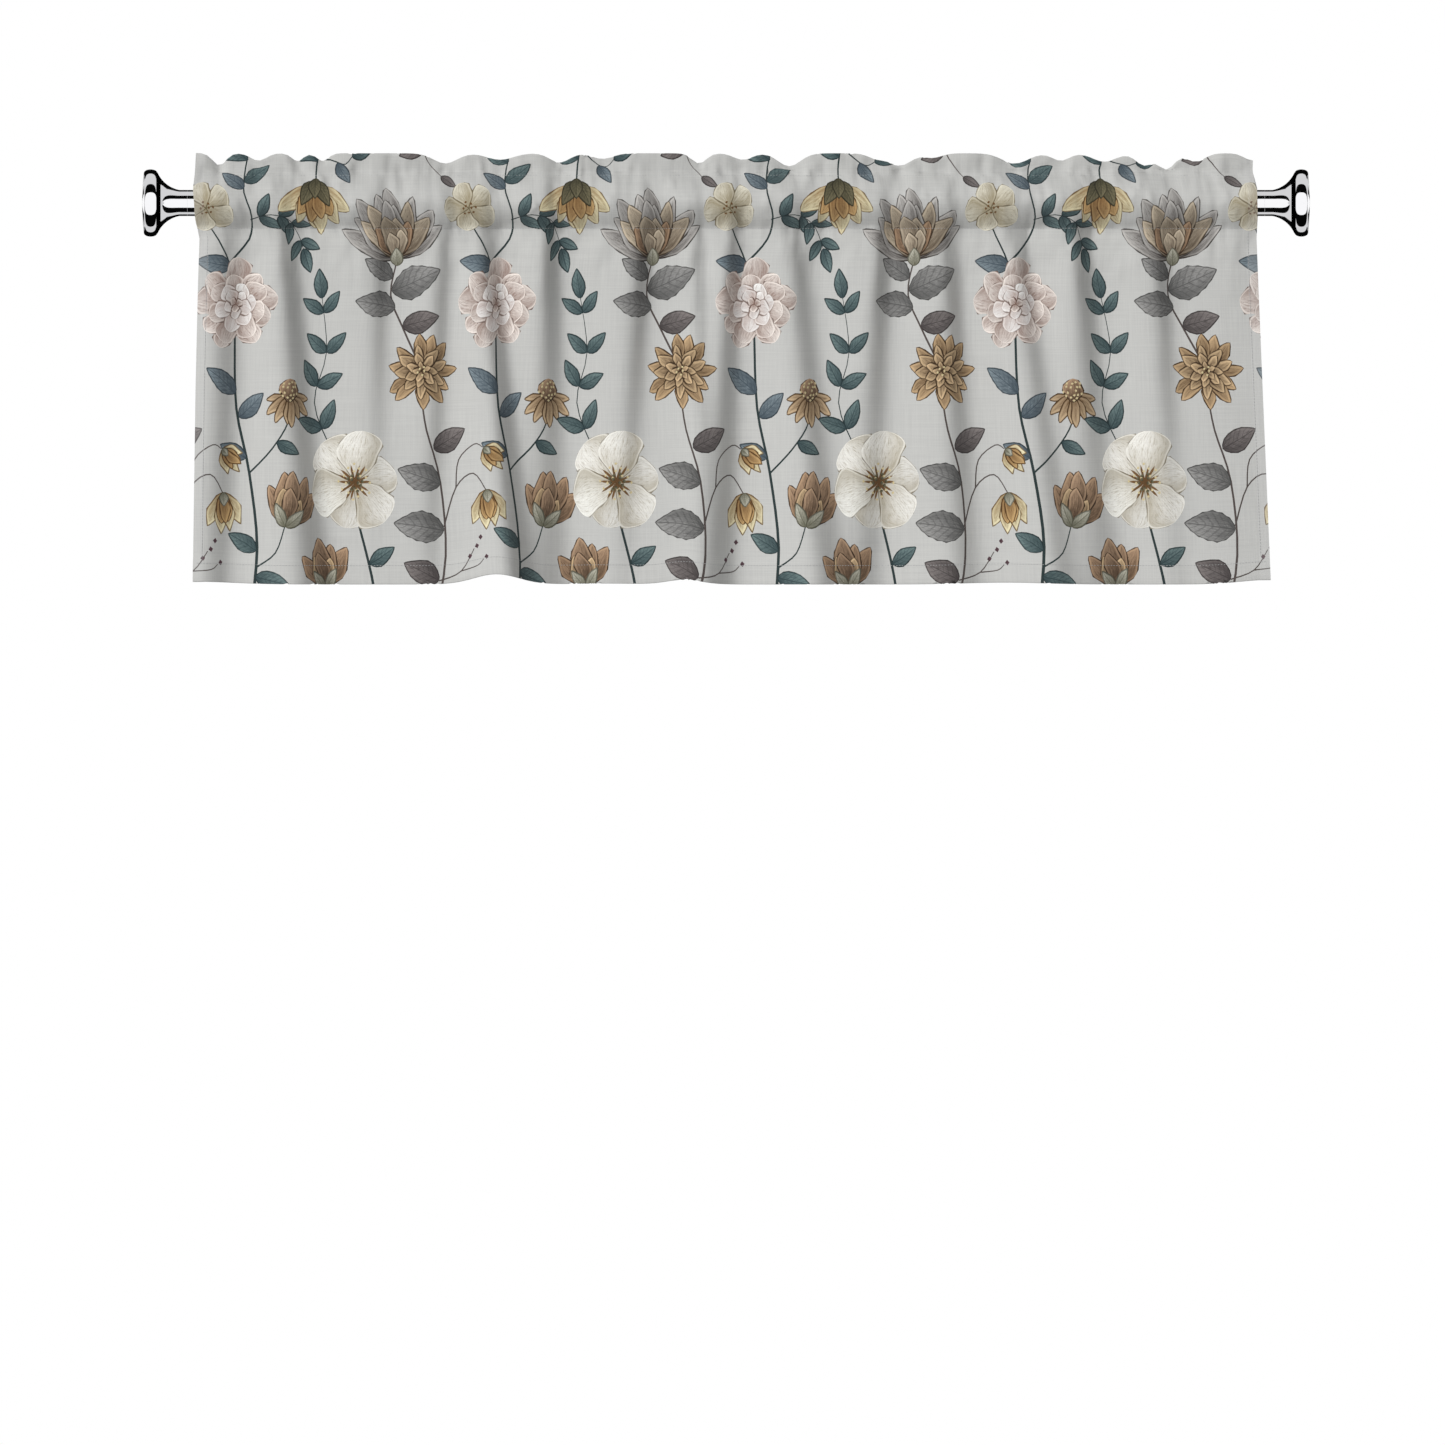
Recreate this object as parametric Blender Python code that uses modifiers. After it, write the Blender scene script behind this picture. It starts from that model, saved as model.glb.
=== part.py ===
"""A window valance with a rod pocket, gathered on a curtain rod with two finials.

X runs along the rod, the front of the cloth faces -Y and +Z is up. The origin is the middle
of the rod's axis. All sizes are in metres; the tables hold millimetres.
"""
import math
from collections import namedtuple

import bmesh
import bpy
from mathutils import Vector

MM = 0.001

# Rod and finials
OVERALL_LENGTH = 1.256
ROD_DIAMETER = 0.028
FINIAL_LENGTH = 0.0485
FINIAL_GAP = 0.0003
STUD_DIAMETER = 0.010
STUD_LENGTH = 0.018
TURNED_SIDES = 40
MERGE_DISTANCE = 0.0001

# The turned outline of a finial, measured from the tip of its domed face
DISC_RADIUS = 0.0362
FACE_RADIUS = 0.0300
FACE_DOME = 0.0016
RIM_WIDTH = 0.0165
RIM_ANGLES = (30, 60, 90, 120, 150)
RIM_SQUARENESS = 0.6
THROAT_START_RADIUS = 0.0330
THROAT_END = 0.0403
THROAT_ARC_RADIUS = 0.032
THROAT_STEPS = 6

# Cloth as sewn: heights above the rod's axis
SHEET = 0.0015
HEM_SHEET = 0.0024
HEADING_TOP = 0.0532
HEADING_SEAM = 0.0320
POCKET_SEAM = -0.0270
HEM_TOP = -0.3860
HEM_BOTTOM = -0.4100
SIDE_HEM = 0.012
POCKET_DEPTH = 0.0168
POCKET_PUCKER = 0.0060
PUCKER_SOFTNESS = 0.0080

# Cloth as hung: places of its left and right edge at the heading and at the hem
LEFT_EDGE_TOP = -0.5690
LEFT_EDGE_BOTTOM = -0.5735
RIGHT_EDGE_TOP = 0.5690
RIGHT_EDGE_BOTTOM = 0.5860

# How the folds build up below the pocket
SEAM_FOLD_SHARE = 0.60
FOLD_GROWTH = 0.060
HEADING_FOLD_SHARE = 0.38
HEADING_SEAM_SHARE = 0.60
HEADING_LEAN = 0.0030
HEADING_EDGE_SHARE = 0.70
HEM_LIFT_POWER = 3

# Divisions of the cloth's solid
STATIONS = 122
HANGING_ROWS = (-0.340, -0.290, -0.235, -0.180, -0.130, -0.085, -0.050)
FRONT_POCKET_ROWS = 6
BACK_POCKET_ROWS = 5
SHARP_ANGLE = 50

# A fold is a soft step backwards, seen from the left: it stands forward on its left and lies
# back on its right, and dies away over its left and its right reach. Each row gives a fold
# at the pocket seam and at the hem. Millimetres.
Crease = namedtuple("Crease", "x depth softness left right")
FOLDS = (
    (Crease(-530, 32, 18, 34, 36), Crease(-546, 24, 18, 34, 38)),
    (Crease(-473, 26, 9, 40, 46), Crease(-442, 42, 21, 50, 52)),
    (Crease(-370, 18, 9, 44, 40), Crease(-378, 0, 12, 44, 40)),
    (Crease(-302, 22, 9, 34, 32), Crease(-318, 8, 12, 34, 34)),
    (Crease(-257, 28, 9, 38, 34), Crease(-222, 42, 15, 40, 84)),
    (Crease(-189, 31, 9, 30, 38), Crease(-186, 34, 24, 84, 66)),
    (Crease(-86, 24, 10, 46, 38), Crease(-112, 8, 14, 40, 40)),
    (Crease(-30, 16, 8, 28, 26), Crease(-20, 4, 12, 28, 26)),
    (Crease(8, 24, 8, 30, 40), Crease(-6, 42, 21, 40, 50)),
    (Crease(75, 24, 12, 38, 40), Crease(112, 34, 19, 44, 80)),
    (Crease(170, 23, 9, 34, 36), Crease(154, 26, 19, 80, 46)),
    (Crease(241, 24, 9, 36, 36), Crease(260, 22, 18, 40, 44)),
    (Crease(314, 20, 9, 40, 32), Crease(366, 26, 18, 42, 80)),
    (Crease(381, 30, 10, 30, 42), Crease(410, 32, 24, 80, 64)),
    (Crease(467, 21, 9, 44, 42), Crease(485, 8, 16, 44, 44)),
)

# A gather drops the heading's top edge and pulls the cloth back there. Millimetres.
Gather = namedtuple("Gather", "x drop half_width")
GATHERS = (
    Gather(-545, 13, 10),
    Gather(-503, 8, 12),
    Gather(-461, 8, 9),
    Gather(-434, 8, 9),
    Gather(-302, 11, 18),
    Gather(-243, 7, 20),
    Gather(-179, 10, 15),
    Gather(-133, 6, 16),
    Gather(-29, 11, 11),
    Gather(18, 7, 14),
    Gather(68, 14, 17),
    Gather(163, 6, 14),
    Gather(188, 13, 16),
    Gather(222, 5, 14),
    Gather(311, 11, 20),
    Gather(360, 8, 13),
    Gather(407, 9, 18),
    Gather(450, 13, 13),
    Gather(474, 17, 12),
    Gather(505, 9, 14),
    Gather(566, 8, 12),
)

# A lift raises the hem line. Millimetres.
Lift = namedtuple("Lift", "x rise half_width")
LIFTS = (
    Lift(-573, 3, 60),
    Lift(-247, 11, 34),
    Lift(-130, 1, 50),
    Lift(-45, 5, 26),
    Lift(300, 2, 60),
    Lift(586, 5, 45),
)

# Finish of each sub-part: colour, roughness, metallic
CLOTH_FINISH = ((0.56, 0.56, 0.55, 1.0), 0.85, 0.0)
CHROME_FINISH = ((0.80, 0.80, 0.81, 1.0), 0.08, 1.0)


def smooth_step(value):
    """0 to 1 with level ends."""
    value = min(1.0, max(0.0, value))
    return value * value * (3.0 - 2.0 * value)


def mix(a, b, share):
    return a + (b - a) * share


def bell(distance, half_width):
    return math.exp(-(distance / half_width) ** 2)


def fold_forward(x, share):
    """How far the folds push the cloth forward at x, share of the way from seam to hem."""
    forward = 0.0
    for at_seam, at_hem in FOLDS:
        crease = Crease(*(mix(seam, hem, share) for seam, hem in zip(at_seam, at_hem)))
        distance = x / MM - crease.x
        reach = crease.left if distance < 0.0 else crease.right
        step = math.tanh(distance / crease.softness) * bell(distance, reach)
        forward -= 0.5 * crease.depth * step
    return forward * MM


def heading_drop(x):
    return MM * sum(row.drop * bell(x / MM - row.x, row.half_width) for row in GATHERS)


def hem_lift(x):
    return MM * sum(row.rise * bell(x / MM - row.x, row.half_width) for row in LIFTS)


def forward(x, z):
    """How far the middle of the cloth stands in front of the rod's axis plane."""
    if z > HEADING_SEAM:
        rise = (z - HEADING_SEAM) / (HEADING_TOP - HEADING_SEAM)
        lean = HEADING_LEAN - HEADING_FOLD_SHARE * heading_drop(x)
        return mix(HEADING_SEAM_SHARE, 1.0, rise) * lean
    if z > POCKET_SEAM:
        share = (HEADING_SEAM - z) / (HEADING_SEAM - POCKET_SEAM)
        return mix(forward(x, HEADING_SEAM + 1e-6), forward(x, POCKET_SEAM), share)
    below = POCKET_SEAM - z
    share = below / (POCKET_SEAM - HEM_BOTTOM)
    growth = mix(SEAM_FOLD_SHARE, 1.0, smooth_step(below / FOLD_GROWTH))
    return growth * fold_forward(x, share)


def surface_normal(x, z):
    """The cloth's unit normal towards the back, from small steps along its surface."""
    step = 0.0005
    along_x = (forward(x + step, z) - forward(x - step, z)) / (2.0 * step)
    along_z = (forward(x, z + step) - forward(x, z - step)) / (2.0 * step)
    return Vector((along_x, 1.0, along_z)).normalized()


def hang(share_x, y, z):
    """Takes a point of the flat sewn cloth to its place on the hung one."""
    share_z = (HEADING_TOP - z) / (HEADING_TOP - HEM_BOTTOM)
    left = mix(LEFT_EDGE_TOP, LEFT_EDGE_BOTTOM, share_z)
    right = mix(RIGHT_EDGE_TOP, RIGHT_EDGE_BOTTOM, share_z)
    x = mix(left, right, share_x)
    round_rod = min(1.0, abs(y) / POCKET_DEPTH) if POCKET_SEAM < z < HEADING_SEAM else 0.0
    pucker = 0.5 * POCKET_PUCKER * (1.0 + math.tanh(fold_forward(x, 0.0) / PUCKER_SOFTNESS))
    middle = Vector((x, -forward(x, z) * (1.0 - round_rod), z))
    place = middle + y * surface_normal(x, z).lerp(Vector((0.0, 1.0, 0.0)), round_rod)
    place.y += math.copysign(pucker, y) * round_rod
    heading_share = (z - HEADING_SEAM) / (HEADING_TOP - HEADING_SEAM)
    hanging_share = (POCKET_SEAM - z) / (POCKET_SEAM - HEM_BOTTOM)
    place.z -= heading_drop(x) * smooth_step(heading_share)
    place.z += hem_lift(x) * max(0.0, hanging_share) ** HEM_LIFT_POWER
    return place


def pocket_layer(rows, offset):
    """One layer of the pocket as (y, z), offset from its middle towards the rod."""
    height = HEADING_SEAM - POCKET_SEAM
    layer = []
    for row in range(1, rows):
        angle = math.pi * row / rows
        slope = POCKET_DEPTH * math.pi * math.cos(angle) / height
        length = math.hypot(1.0, slope)
        depth = POCKET_DEPTH * math.sin(angle) - offset / length
        level = HEADING_SEAM - height * row / rows - offset * slope / length
        layer.append((depth, level))
    return layer


def sewn_section():
    """The outer and the inner loop of the sewn cloth's section, as (y, z)."""
    half = 0.5 * SHEET
    hem_half = 0.5 * HEM_SHEET
    hanging = [(hem_half, HEM_BOTTOM), (hem_half, HEM_TOP)]
    hanging += [(half, row) for row in HANGING_ROWS]
    heading_middle = 0.5 * (HEADING_SEAM + HEADING_TOP)
    heading = [(SHEET, HEADING_SEAM), (SHEET, heading_middle)]
    heading += [(HEADING_EDGE_SHARE * SHEET, HEADING_TOP)]
    sides = []
    for rows in (FRONT_POCKET_ROWS, BACK_POCKET_ROWS):
        pocket = pocket_layer(rows, -half)[::-1]
        sides.append(hanging + [(half, POCKET_SEAM)] + pocket + heading)
    front, back = sides
    outer = [(-y, z) for y, z in front] + back[::-1]
    front_inner = [(-y, z) for y, z in pocket_layer(FRONT_POCKET_ROWS, half)]
    back_inner = pocket_layer(BACK_POCKET_ROWS, half)[::-1]
    top = [(0.0, HEADING_SEAM - SHEET)]
    bottom = [(0.0, POCKET_SEAM + SHEET)]
    return outer, top + front_inner + bottom + back_inner


def with_side_hem(share_x, y, z):
    """The cloth's half thickness: below the pocket its side hems are as thick as the bottom one."""
    width = RIGHT_EDGE_TOP - LEFT_EDGE_TOP
    from_side = min(share_x, 1.0 - share_x) * width
    if from_side < SIDE_HEM and z < POCKET_SEAM:
        return math.copysign(0.5 * HEM_SHEET, y)
    return y


def sweep_loop(bm, loop):
    """Extrudes one closed loop of the section across the cloth's width, hung as it goes."""
    def ring_at(share_x):
        return [hang(share_x, with_side_hem(share_x, y, z), z) for y, z in loop]

    ring = [bm.verts.new(place) for place in ring_at(0.0)]
    first_edges = [bm.edges.new((a, b)) for a, b in zip(ring, ring[1:] + ring[:1])]
    for station in range(1, STATIONS + 1):
        next_ring = [bm.verts.new(place) for place in ring_at(station / STATIONS)]
        for here, after in zip(range(-1, len(loop) - 1), range(len(loop))):
            bm.faces.new((ring[here], ring[after], next_ring[after], next_ring[here]))
        ring = next_ring
    last_edges = [bm.edges.get((a, b)) for a, b in zip(ring, ring[1:] + ring[:1])]
    return first_edges, last_edges


def make_material(name, finish):
    colour, roughness, metallic = finish
    material = bpy.data.materials.new(name)
    material.use_nodes = True
    shader = material.node_tree.nodes["Principled BSDF"]
    shader.inputs["Base Color"].default_value = colour
    shader.inputs["Roughness"].default_value = roughness
    shader.inputs["Metallic"].default_value = metallic
    return material


def make_valance(collection):
    """The cloth is a loft of unlike sections, so its two loops are swept by hand."""
    bm = bmesh.new()
    outer, inner = sewn_section()
    loops = [sweep_loop(bm, outer), sweep_loop(bm, inner)]
    for cap in zip(*loops):
        edges = [edge for loop in cap for edge in loop]
        bmesh.ops.triangle_fill(bm, edges=edges, use_beauty=True)
    bmesh.ops.recalc_face_normals(bm, faces=bm.faces)
    mesh = bpy.data.meshes.new("valance")
    bm.to_mesh(mesh)
    bm.free()
    mesh.shade_smooth()
    mesh.set_sharp_from_angle(angle=math.radians(SHARP_ANGLE))
    mesh.materials.append(make_material("printed cloth", CLOTH_FINISH))
    valance = bpy.data.objects.new("valance", mesh)
    collection.objects.link(valance)


def arc_points(start, end, radius, steps):
    """Points between two ends along an arc that bows towards the axis."""
    start = Vector(start)
    end = Vector(end)
    chord = end - start
    middle = start + 0.5 * chord
    outwards = Vector((-chord.y, chord.x)).normalized()
    centre = middle + outwards * math.sqrt(radius ** 2 - 0.25 * chord.length_squared)
    from_angle = math.atan2(start.y - centre.y, start.x - centre.x)
    to_angle = math.atan2(end.y - centre.y, end.x - centre.x)
    turn = (to_angle - from_angle + math.pi) % (2.0 * math.pi) - math.pi
    angles = [from_angle + turn * step / steps for step in range(steps + 1)]
    return [(centre.x + radius * math.cos(a), centre.y + radius * math.sin(a)) for a in angles]


def finial_profile():
    """From the tip of the domed face to the end of the stud, as (radius, height)."""
    dome = [(0.0, 0.0), (0.5 * FACE_RADIUS, -0.25 * FACE_DOME), (FACE_RADIUS, -FACE_DOME)]
    rim = []
    for angle in RIM_ANGLES:
        turn = math.radians(angle)
        width = 0.5 * (RIM_WIDTH - FACE_DOME)
        bulge = (DISC_RADIUS - FACE_RADIUS) * math.sin(turn) ** RIM_SQUARENESS
        rim.append((FACE_RADIUS + bulge, -FACE_DOME - width * (1.0 - math.cos(turn))))
    neck_radius = 0.5 * ROD_DIAMETER
    throat = arc_points((THROAT_START_RADIUS, -RIM_WIDTH), (neck_radius, -THROAT_END),
                        THROAT_ARC_RADIUS, THROAT_STEPS)
    stud_radius = 0.5 * STUD_DIAMETER
    stud_end = -FINIAL_LENGTH - STUD_LENGTH
    neck = [(neck_radius, -FINIAL_LENGTH), (stud_radius, -FINIAL_LENGTH)]
    return dome + rim + throat + neck + [(stud_radius, stud_end), (0.0, stud_end)]


def rod_profile():
    """A bar with a blind hole in each end for the stud of its finial."""
    half = 0.5 * OVERALL_LENGTH - FINIAL_LENGTH - FINIAL_GAP
    hole_radius = 0.5 * STUD_DIAMETER + FINIAL_GAP
    hole_end = half - STUD_LENGTH - 4.0 * FINIAL_GAP
    upper = [(0.0, hole_end), (hole_radius, hole_end), (hole_radius, half),
             (0.5 * ROD_DIAMETER, half)]
    return upper + [(radius, -height) for radius, height in reversed(upper)]


def make_turned(name, profile, place, turn, material, collection):
    """Spins a profile, given as (radius, height), about its own axis."""
    mesh = bpy.data.meshes.new(name)
    edges = [(i, i + 1) for i in range(len(profile) - 1)]
    mesh.from_pydata([(radius, 0.0, height) for radius, height in profile], edges, [])
    mesh.materials.append(material)
    turned = bpy.data.objects.new(name, mesh)
    collection.objects.link(turned)
    screw = turned.modifiers.new("turn", "SCREW")
    screw.steps = TURNED_SIDES
    screw.render_steps = TURNED_SIDES
    screw.use_merge_vertices = True
    screw.merge_threshold = MERGE_DISTANCE
    screw.use_smooth_shade = True
    turned.location = place
    turned.rotation_euler = turn


def make_rod_and_finials(collection):
    chrome = make_material("polished chrome", CHROME_FINISH)
    half = 0.5 * OVERALL_LENGTH
    quarter_turn = math.radians(90)
    make_turned("rod", rod_profile(), (0.0, 0.0, 0.0), (0.0, quarter_turn, 0.0), chrome,
                collection)
    make_turned("finial_left", finial_profile(), (-half, 0.0, 0.0), (0.0, -quarter_turn, 0.0),
                chrome, collection)
    make_turned("finial_right", finial_profile(), (half, 0.0, 0.0), (0.0, quarter_turn, 0.0),
                chrome, collection)


def main():
    for startup_object in list(bpy.data.objects):
        bpy.data.objects.remove(startup_object)
    collection = bpy.data.collections.new("window_valance")
    bpy.context.scene.collection.children.link(collection)
    make_valance(collection)
    make_rod_and_finials(collection)


main()
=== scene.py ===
"""A window valance of printed cloth, gathered on a chromed curtain rod.

X runs along the rod, the front of the cloth faces -Y and +Z is up. Sizes are in metres, and
in millimetres in the tables and in the flat drawing of the print.
"""
import math
import random
from collections import namedtuple

import bpy
import numpy as np
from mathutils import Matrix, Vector
from mathutils.geometry import delaunay_2d_cdt


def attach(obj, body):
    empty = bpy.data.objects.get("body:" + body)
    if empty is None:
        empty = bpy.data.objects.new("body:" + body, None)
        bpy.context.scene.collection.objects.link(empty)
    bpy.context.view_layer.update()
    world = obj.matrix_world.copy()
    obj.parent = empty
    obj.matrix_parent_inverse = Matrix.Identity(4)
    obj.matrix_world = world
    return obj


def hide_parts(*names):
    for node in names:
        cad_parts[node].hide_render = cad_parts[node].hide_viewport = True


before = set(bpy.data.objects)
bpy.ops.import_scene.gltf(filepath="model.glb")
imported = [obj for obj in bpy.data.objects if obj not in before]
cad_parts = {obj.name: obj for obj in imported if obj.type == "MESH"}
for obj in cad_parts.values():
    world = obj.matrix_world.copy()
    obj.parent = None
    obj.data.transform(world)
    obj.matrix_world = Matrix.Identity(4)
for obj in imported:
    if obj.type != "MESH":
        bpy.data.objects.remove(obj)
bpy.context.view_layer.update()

MM = 0.001

# The picture's frame: its size, the real size of a pixel, and where the rod's middle lies
PICTURE_PIXELS = 1445
PIXEL = 0.0010757
ROD_MIDDLE_PIXEL = (726, 203)
CAMERA_DISTANCE = 3.0
CAMERA_REACH = 60.0
FLOOR_GAP = 0.004
FLOOR_SIZE = 30.0

# Rod and finials, turned to the solids' sizes, with a hairline left between them
OVERALL_LENGTH = 1.256
ROD_DIAMETER = 0.028
FINIAL_LENGTH = 0.0485
FINIAL_GAP = 0.0003
JOINT_HAIRLINE = 0.00004
STUD_DIAMETER = 0.010
STUD_LENGTH = 0.018
EDGE_ROUND = 0.00006
DISC_RADIUS = 0.0362
FACE_RADIUS = 0.0300
FACE_DOME = 0.0016
RIM_WIDTH = 0.0165
RIM_STEPS = 16
RIM_SQUARENESS = 0.6
THROAT_START_RADIUS = 0.0330
THROAT_END = 0.0403
THROAT_ARC_RADIUS = 0.032
THROAT_STEPS = 28
# A ring of each throat, between these distances from the finial's tip, gets near-black chrome at
# this level: a painted dark reflection
THROAT_PAINTED_REFLECTION = (0.0146, 0.0198)
PAINTED_REFLECTION_LEVEL = 0.012
DOME_STEPS = 5
SPIN_STEPS = 96
SMOOTH_ANGLE = 40
MERGE_DISTANCE = 0.00002

# Cloth as sewn: heights above the rod's axis
CLOTH_THICKNESS = 0.0007
HEADING_TOP = 0.0532
HEADING_SEAM = 0.0320
POCKET_SEAM = -0.0270
HEM_TOP = -0.3860
HEM_BOTTOM = -0.4100
SIDE_HEM = 0.012
POCKET_DEPTH = 0.0168
POCKET_PUCKER = 0.0060
PUCKER_SOFTNESS = 0.0080
LAYER_GAP = 0.0007
HEM_STEP = 0.001
SEAM_EASE = 0.003
TAIL = 0.004
SIDE_HEM_RAISE = 0.0003
SIDE_HEM_STEP = 0.0012

# Cloth as hung
LEFT_EDGE_TOP = -0.5690
LEFT_EDGE_BOTTOM = -0.5735
RIGHT_EDGE_TOP = 0.5690
RIGHT_EDGE_BOTTOM = 0.5860
SEAM_FOLD_SHARE = 0.60
FOLD_GROWTH = 0.060
HEADING_FOLD_SHARE = 0.38
HEADING_SEAM_SHARE = 0.60
HEADING_LEAN = 0.0030
HIGHEST_RISE = 1.2
HEM_LIFT_POWER = 3

# A fold is a soft step backwards, seen from the left: it stands forward on its left and lies
# back on its right, and dies away over its left and its right reach. Each row gives a fold
# at the pocket seam and at the hem. Millimetres.
Crease = namedtuple("Crease", "x depth softness left right")
FOLDS = (
    (Crease(-530, 32, 18, 34, 36), Crease(-546, 24, 18, 34, 38)),
    (Crease(-473, 26, 9, 40, 46), Crease(-442, 42, 21, 50, 52)),
    (Crease(-370, 18, 9, 44, 40), Crease(-378, 0, 12, 44, 40)),
    (Crease(-302, 22, 9, 34, 32), Crease(-318, 8, 12, 34, 34)),
    (Crease(-257, 28, 9, 38, 34), Crease(-222, 42, 15, 40, 84)),
    (Crease(-189, 31, 9, 30, 38), Crease(-186, 34, 24, 84, 66)),
    (Crease(-86, 24, 10, 46, 38), Crease(-112, 8, 14, 40, 40)),
    (Crease(-30, 16, 8, 28, 26), Crease(-20, 4, 12, 28, 26)),
    (Crease(8, 24, 8, 30, 40), Crease(-6, 42, 21, 40, 50)),
    (Crease(75, 24, 12, 38, 40), Crease(112, 34, 19, 44, 80)),
    (Crease(170, 23, 9, 34, 36), Crease(154, 26, 19, 80, 46)),
    (Crease(241, 24, 9, 36, 36), Crease(260, 22, 18, 40, 44)),
    (Crease(314, 20, 9, 40, 32), Crease(366, 26, 18, 42, 80)),
    (Crease(381, 30, 10, 30, 42), Crease(410, 32, 24, 80, 64)),
    (Crease(467, 21, 9, 44, 42), Crease(485, 8, 16, 44, 44)),
)

# A gather drops the heading's top edge and pulls the cloth back there. Millimetres.
Gather = namedtuple("Gather", "x drop half_width")
GATHERS = (
    Gather(-545, 13, 10),
    Gather(-503, 8, 12),
    Gather(-461, 8, 9),
    Gather(-434, 8, 9),
    Gather(-302, 11, 18),
    Gather(-243, 7, 20),
    Gather(-179, 10, 15),
    Gather(-133, 6, 16),
    Gather(-29, 11, 11),
    Gather(18, 7, 14),
    Gather(68, 14, 17),
    Gather(163, 6, 14),
    Gather(188, 13, 16),
    Gather(222, 5, 14),
    Gather(311, 11, 20),
    Gather(360, 8, 13),
    Gather(407, 9, 18),
    Gather(450, 13, 13),
    Gather(474, 17, 12),
    Gather(505, 9, 14),
    Gather(566, 8, 12),
)

# A lift raises the hem line. Millimetres.
Lift = namedtuple("Lift", "x rise half_width")
LIFTS = (
    Lift(-573, 3, 60),
    Lift(-247, 11, 34),
    Lift(-130, 1, 50),
    Lift(-45, 5, 26),
    Lift(300, 2, 60),
    Lift(586, 5, 45),
)

# How far the side edges wander sideways at a height. Millimetres.
EdgeShift = namedtuple("EdgeShift", "z left right")
EDGE_SHIFTS = (
    EdgeShift(-410, 0.0, 0.0),
    EdgeShift(-200, 1.0, -1.0),
    EdgeShift(-90, 2.5, -1.5),
    EdgeShift(-38, 3.6, -1.6),
    EdgeShift(-13, -1.5, 0.6),
    EdgeShift(14, -3.9, 1.0),
    EdgeShift(34, -2.0, -3.4),
    EdgeShift(53, -1.2, -2.2),
)

# Small puckers that the gathering leaves at the two rows of stitching. Millimetres.
PUCKER_SEED = 11
PUCKER_EDGES = (6.0, 4.0)
PUCKER_SPACING = (9, 24)
PUCKER_DEPTH = (0.25, 1.15)
PUCKER_HALF_WIDTH = (2.6, 5.2)
PUCKER_REACH = (16, 60)
PUCKER_POCKET_REACH = 17
PUCKER_HEADING_REACH = 16
PUCKER_HEADING_GAIN = 1.5
PUCKER_DRIFT = 0.10
PUCKER_SPREAD = 40.0
WRINKLE_FADE = 5.0

# A wrinkle is a short slanting ridge on the pocket or the heading. Millimetres and degrees.
Wrinkle = namedtuple("Wrinkle", "x z turn reach half_width height")
WRINKLES = (
    Wrinkle(-541, 22, 70, 12, 4.5, 1.6),
    Wrinkle(-524, -6, 112, 10, 4.0, 1.4),
    Wrinkle(-487, 18, 60, 12, 4.5, 1.7),
    Wrinkle(-455, 30, 80, 12, 4.0, 1.9),
    Wrinkle(-434, 22, 118, 13, 4.2, 2.2),
    Wrinkle(-412, 26, 62, 13, 4.2, 2.1),
    Wrinkle(-398, -2, 140, 15, 4.0, 2.1),
    Wrinkle(-384, -14, 146, 12, 3.4, 1.4),
    Wrinkle(-338, 16, 74, 12, 5.0, 1.5),
    Wrinkle(-262, 34, 104, 12, 4.4, 1.9),
    Wrinkle(-240, 10, 80, 15, 5.0, 1.7),
    Wrinkle(-205, -4, 48, 12, 4.0, 1.6),
    Wrinkle(-158, 28, 96, 13, 4.8, 1.6),
    Wrinkle(-121, -2, 142, 15, 4.2, 2.0),
    Wrinkle(-106, -14, 150, 12, 3.6, 1.5),
    Wrinkle(-58, 20, 64, 13, 4.6, 1.6),
    Wrinkle(-24, 40, 86, 10, 3.8, 1.9),
    Wrinkle(-8, 30, 112, 12, 4.0, 1.8),
    Wrinkle(42, 4, 100, 14, 5.0, 1.5),
    Wrinkle(88, 30, 66, 12, 4.4, 1.7),
    Wrinkle(121, -4, 144, 14, 4.2, 2.0),
    Wrinkle(140, -13, 156, 12, 3.6, 1.5),
    Wrinkle(176, 34, 84, 12, 4.2, 1.8),
    Wrinkle(214, 8, 58, 13, 4.8, 1.6),
    Wrinkle(276, 26, 108, 12, 4.4, 1.6),
    Wrinkle(324, 0, 88, 16, 4.6, 1.7),
    Wrinkle(338, 4, 92, 14, 4.0, 1.6),
    Wrinkle(384, 28, 70, 12, 4.4, 1.7),
    Wrinkle(440, 14, 62, 14, 4.4, 2.1),
    Wrinkle(456, 4, 104, 13, 4.0, 1.9),
    Wrinkle(492, 30, 96, 12, 4.2, 1.6),
    Wrinkle(538, 6, 72, 13, 4.6, 1.5),
)

# Divisions of the cloth, and of the tables that lay it out
COLUMNS = 194
HEIGHT_LEVELS = 72
LEVEL_POINTS = 500
SLOPE_STEP = 0.0004
NORMAL_STEP = 0.0003
SHORTEST_NORMAL = 1e-12
LONGEST_EDGE = 11.0
TIGHT_ROW = 3.0
OUTLINE_SPARE = 0.4
CUT_TOLERANCE = 0.004

# How the print's map lies in the two halves of the baked picture
BAKE_MARGIN = 0.004
BAKE_SPREAD = (0.992, 0.488)

# Lengths of petals are stored as shares of this many millimetres
LENGTH_SCALE = 100.0


def smooth_step(value):
    """Rises softly from 0 to 1 as the value does."""
    value = np.clip(value, 0.0, 1.0)
    return value * value * (3.0 - 2.0 * value)


def mix(a, b, share):
    """From a to b by a share of the way."""
    return a + (b - a) * share


def bell(distance, half_width):
    """1 in the middle, dying away on both sides."""
    return np.exp(-(distance / half_width) ** 2)


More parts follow.
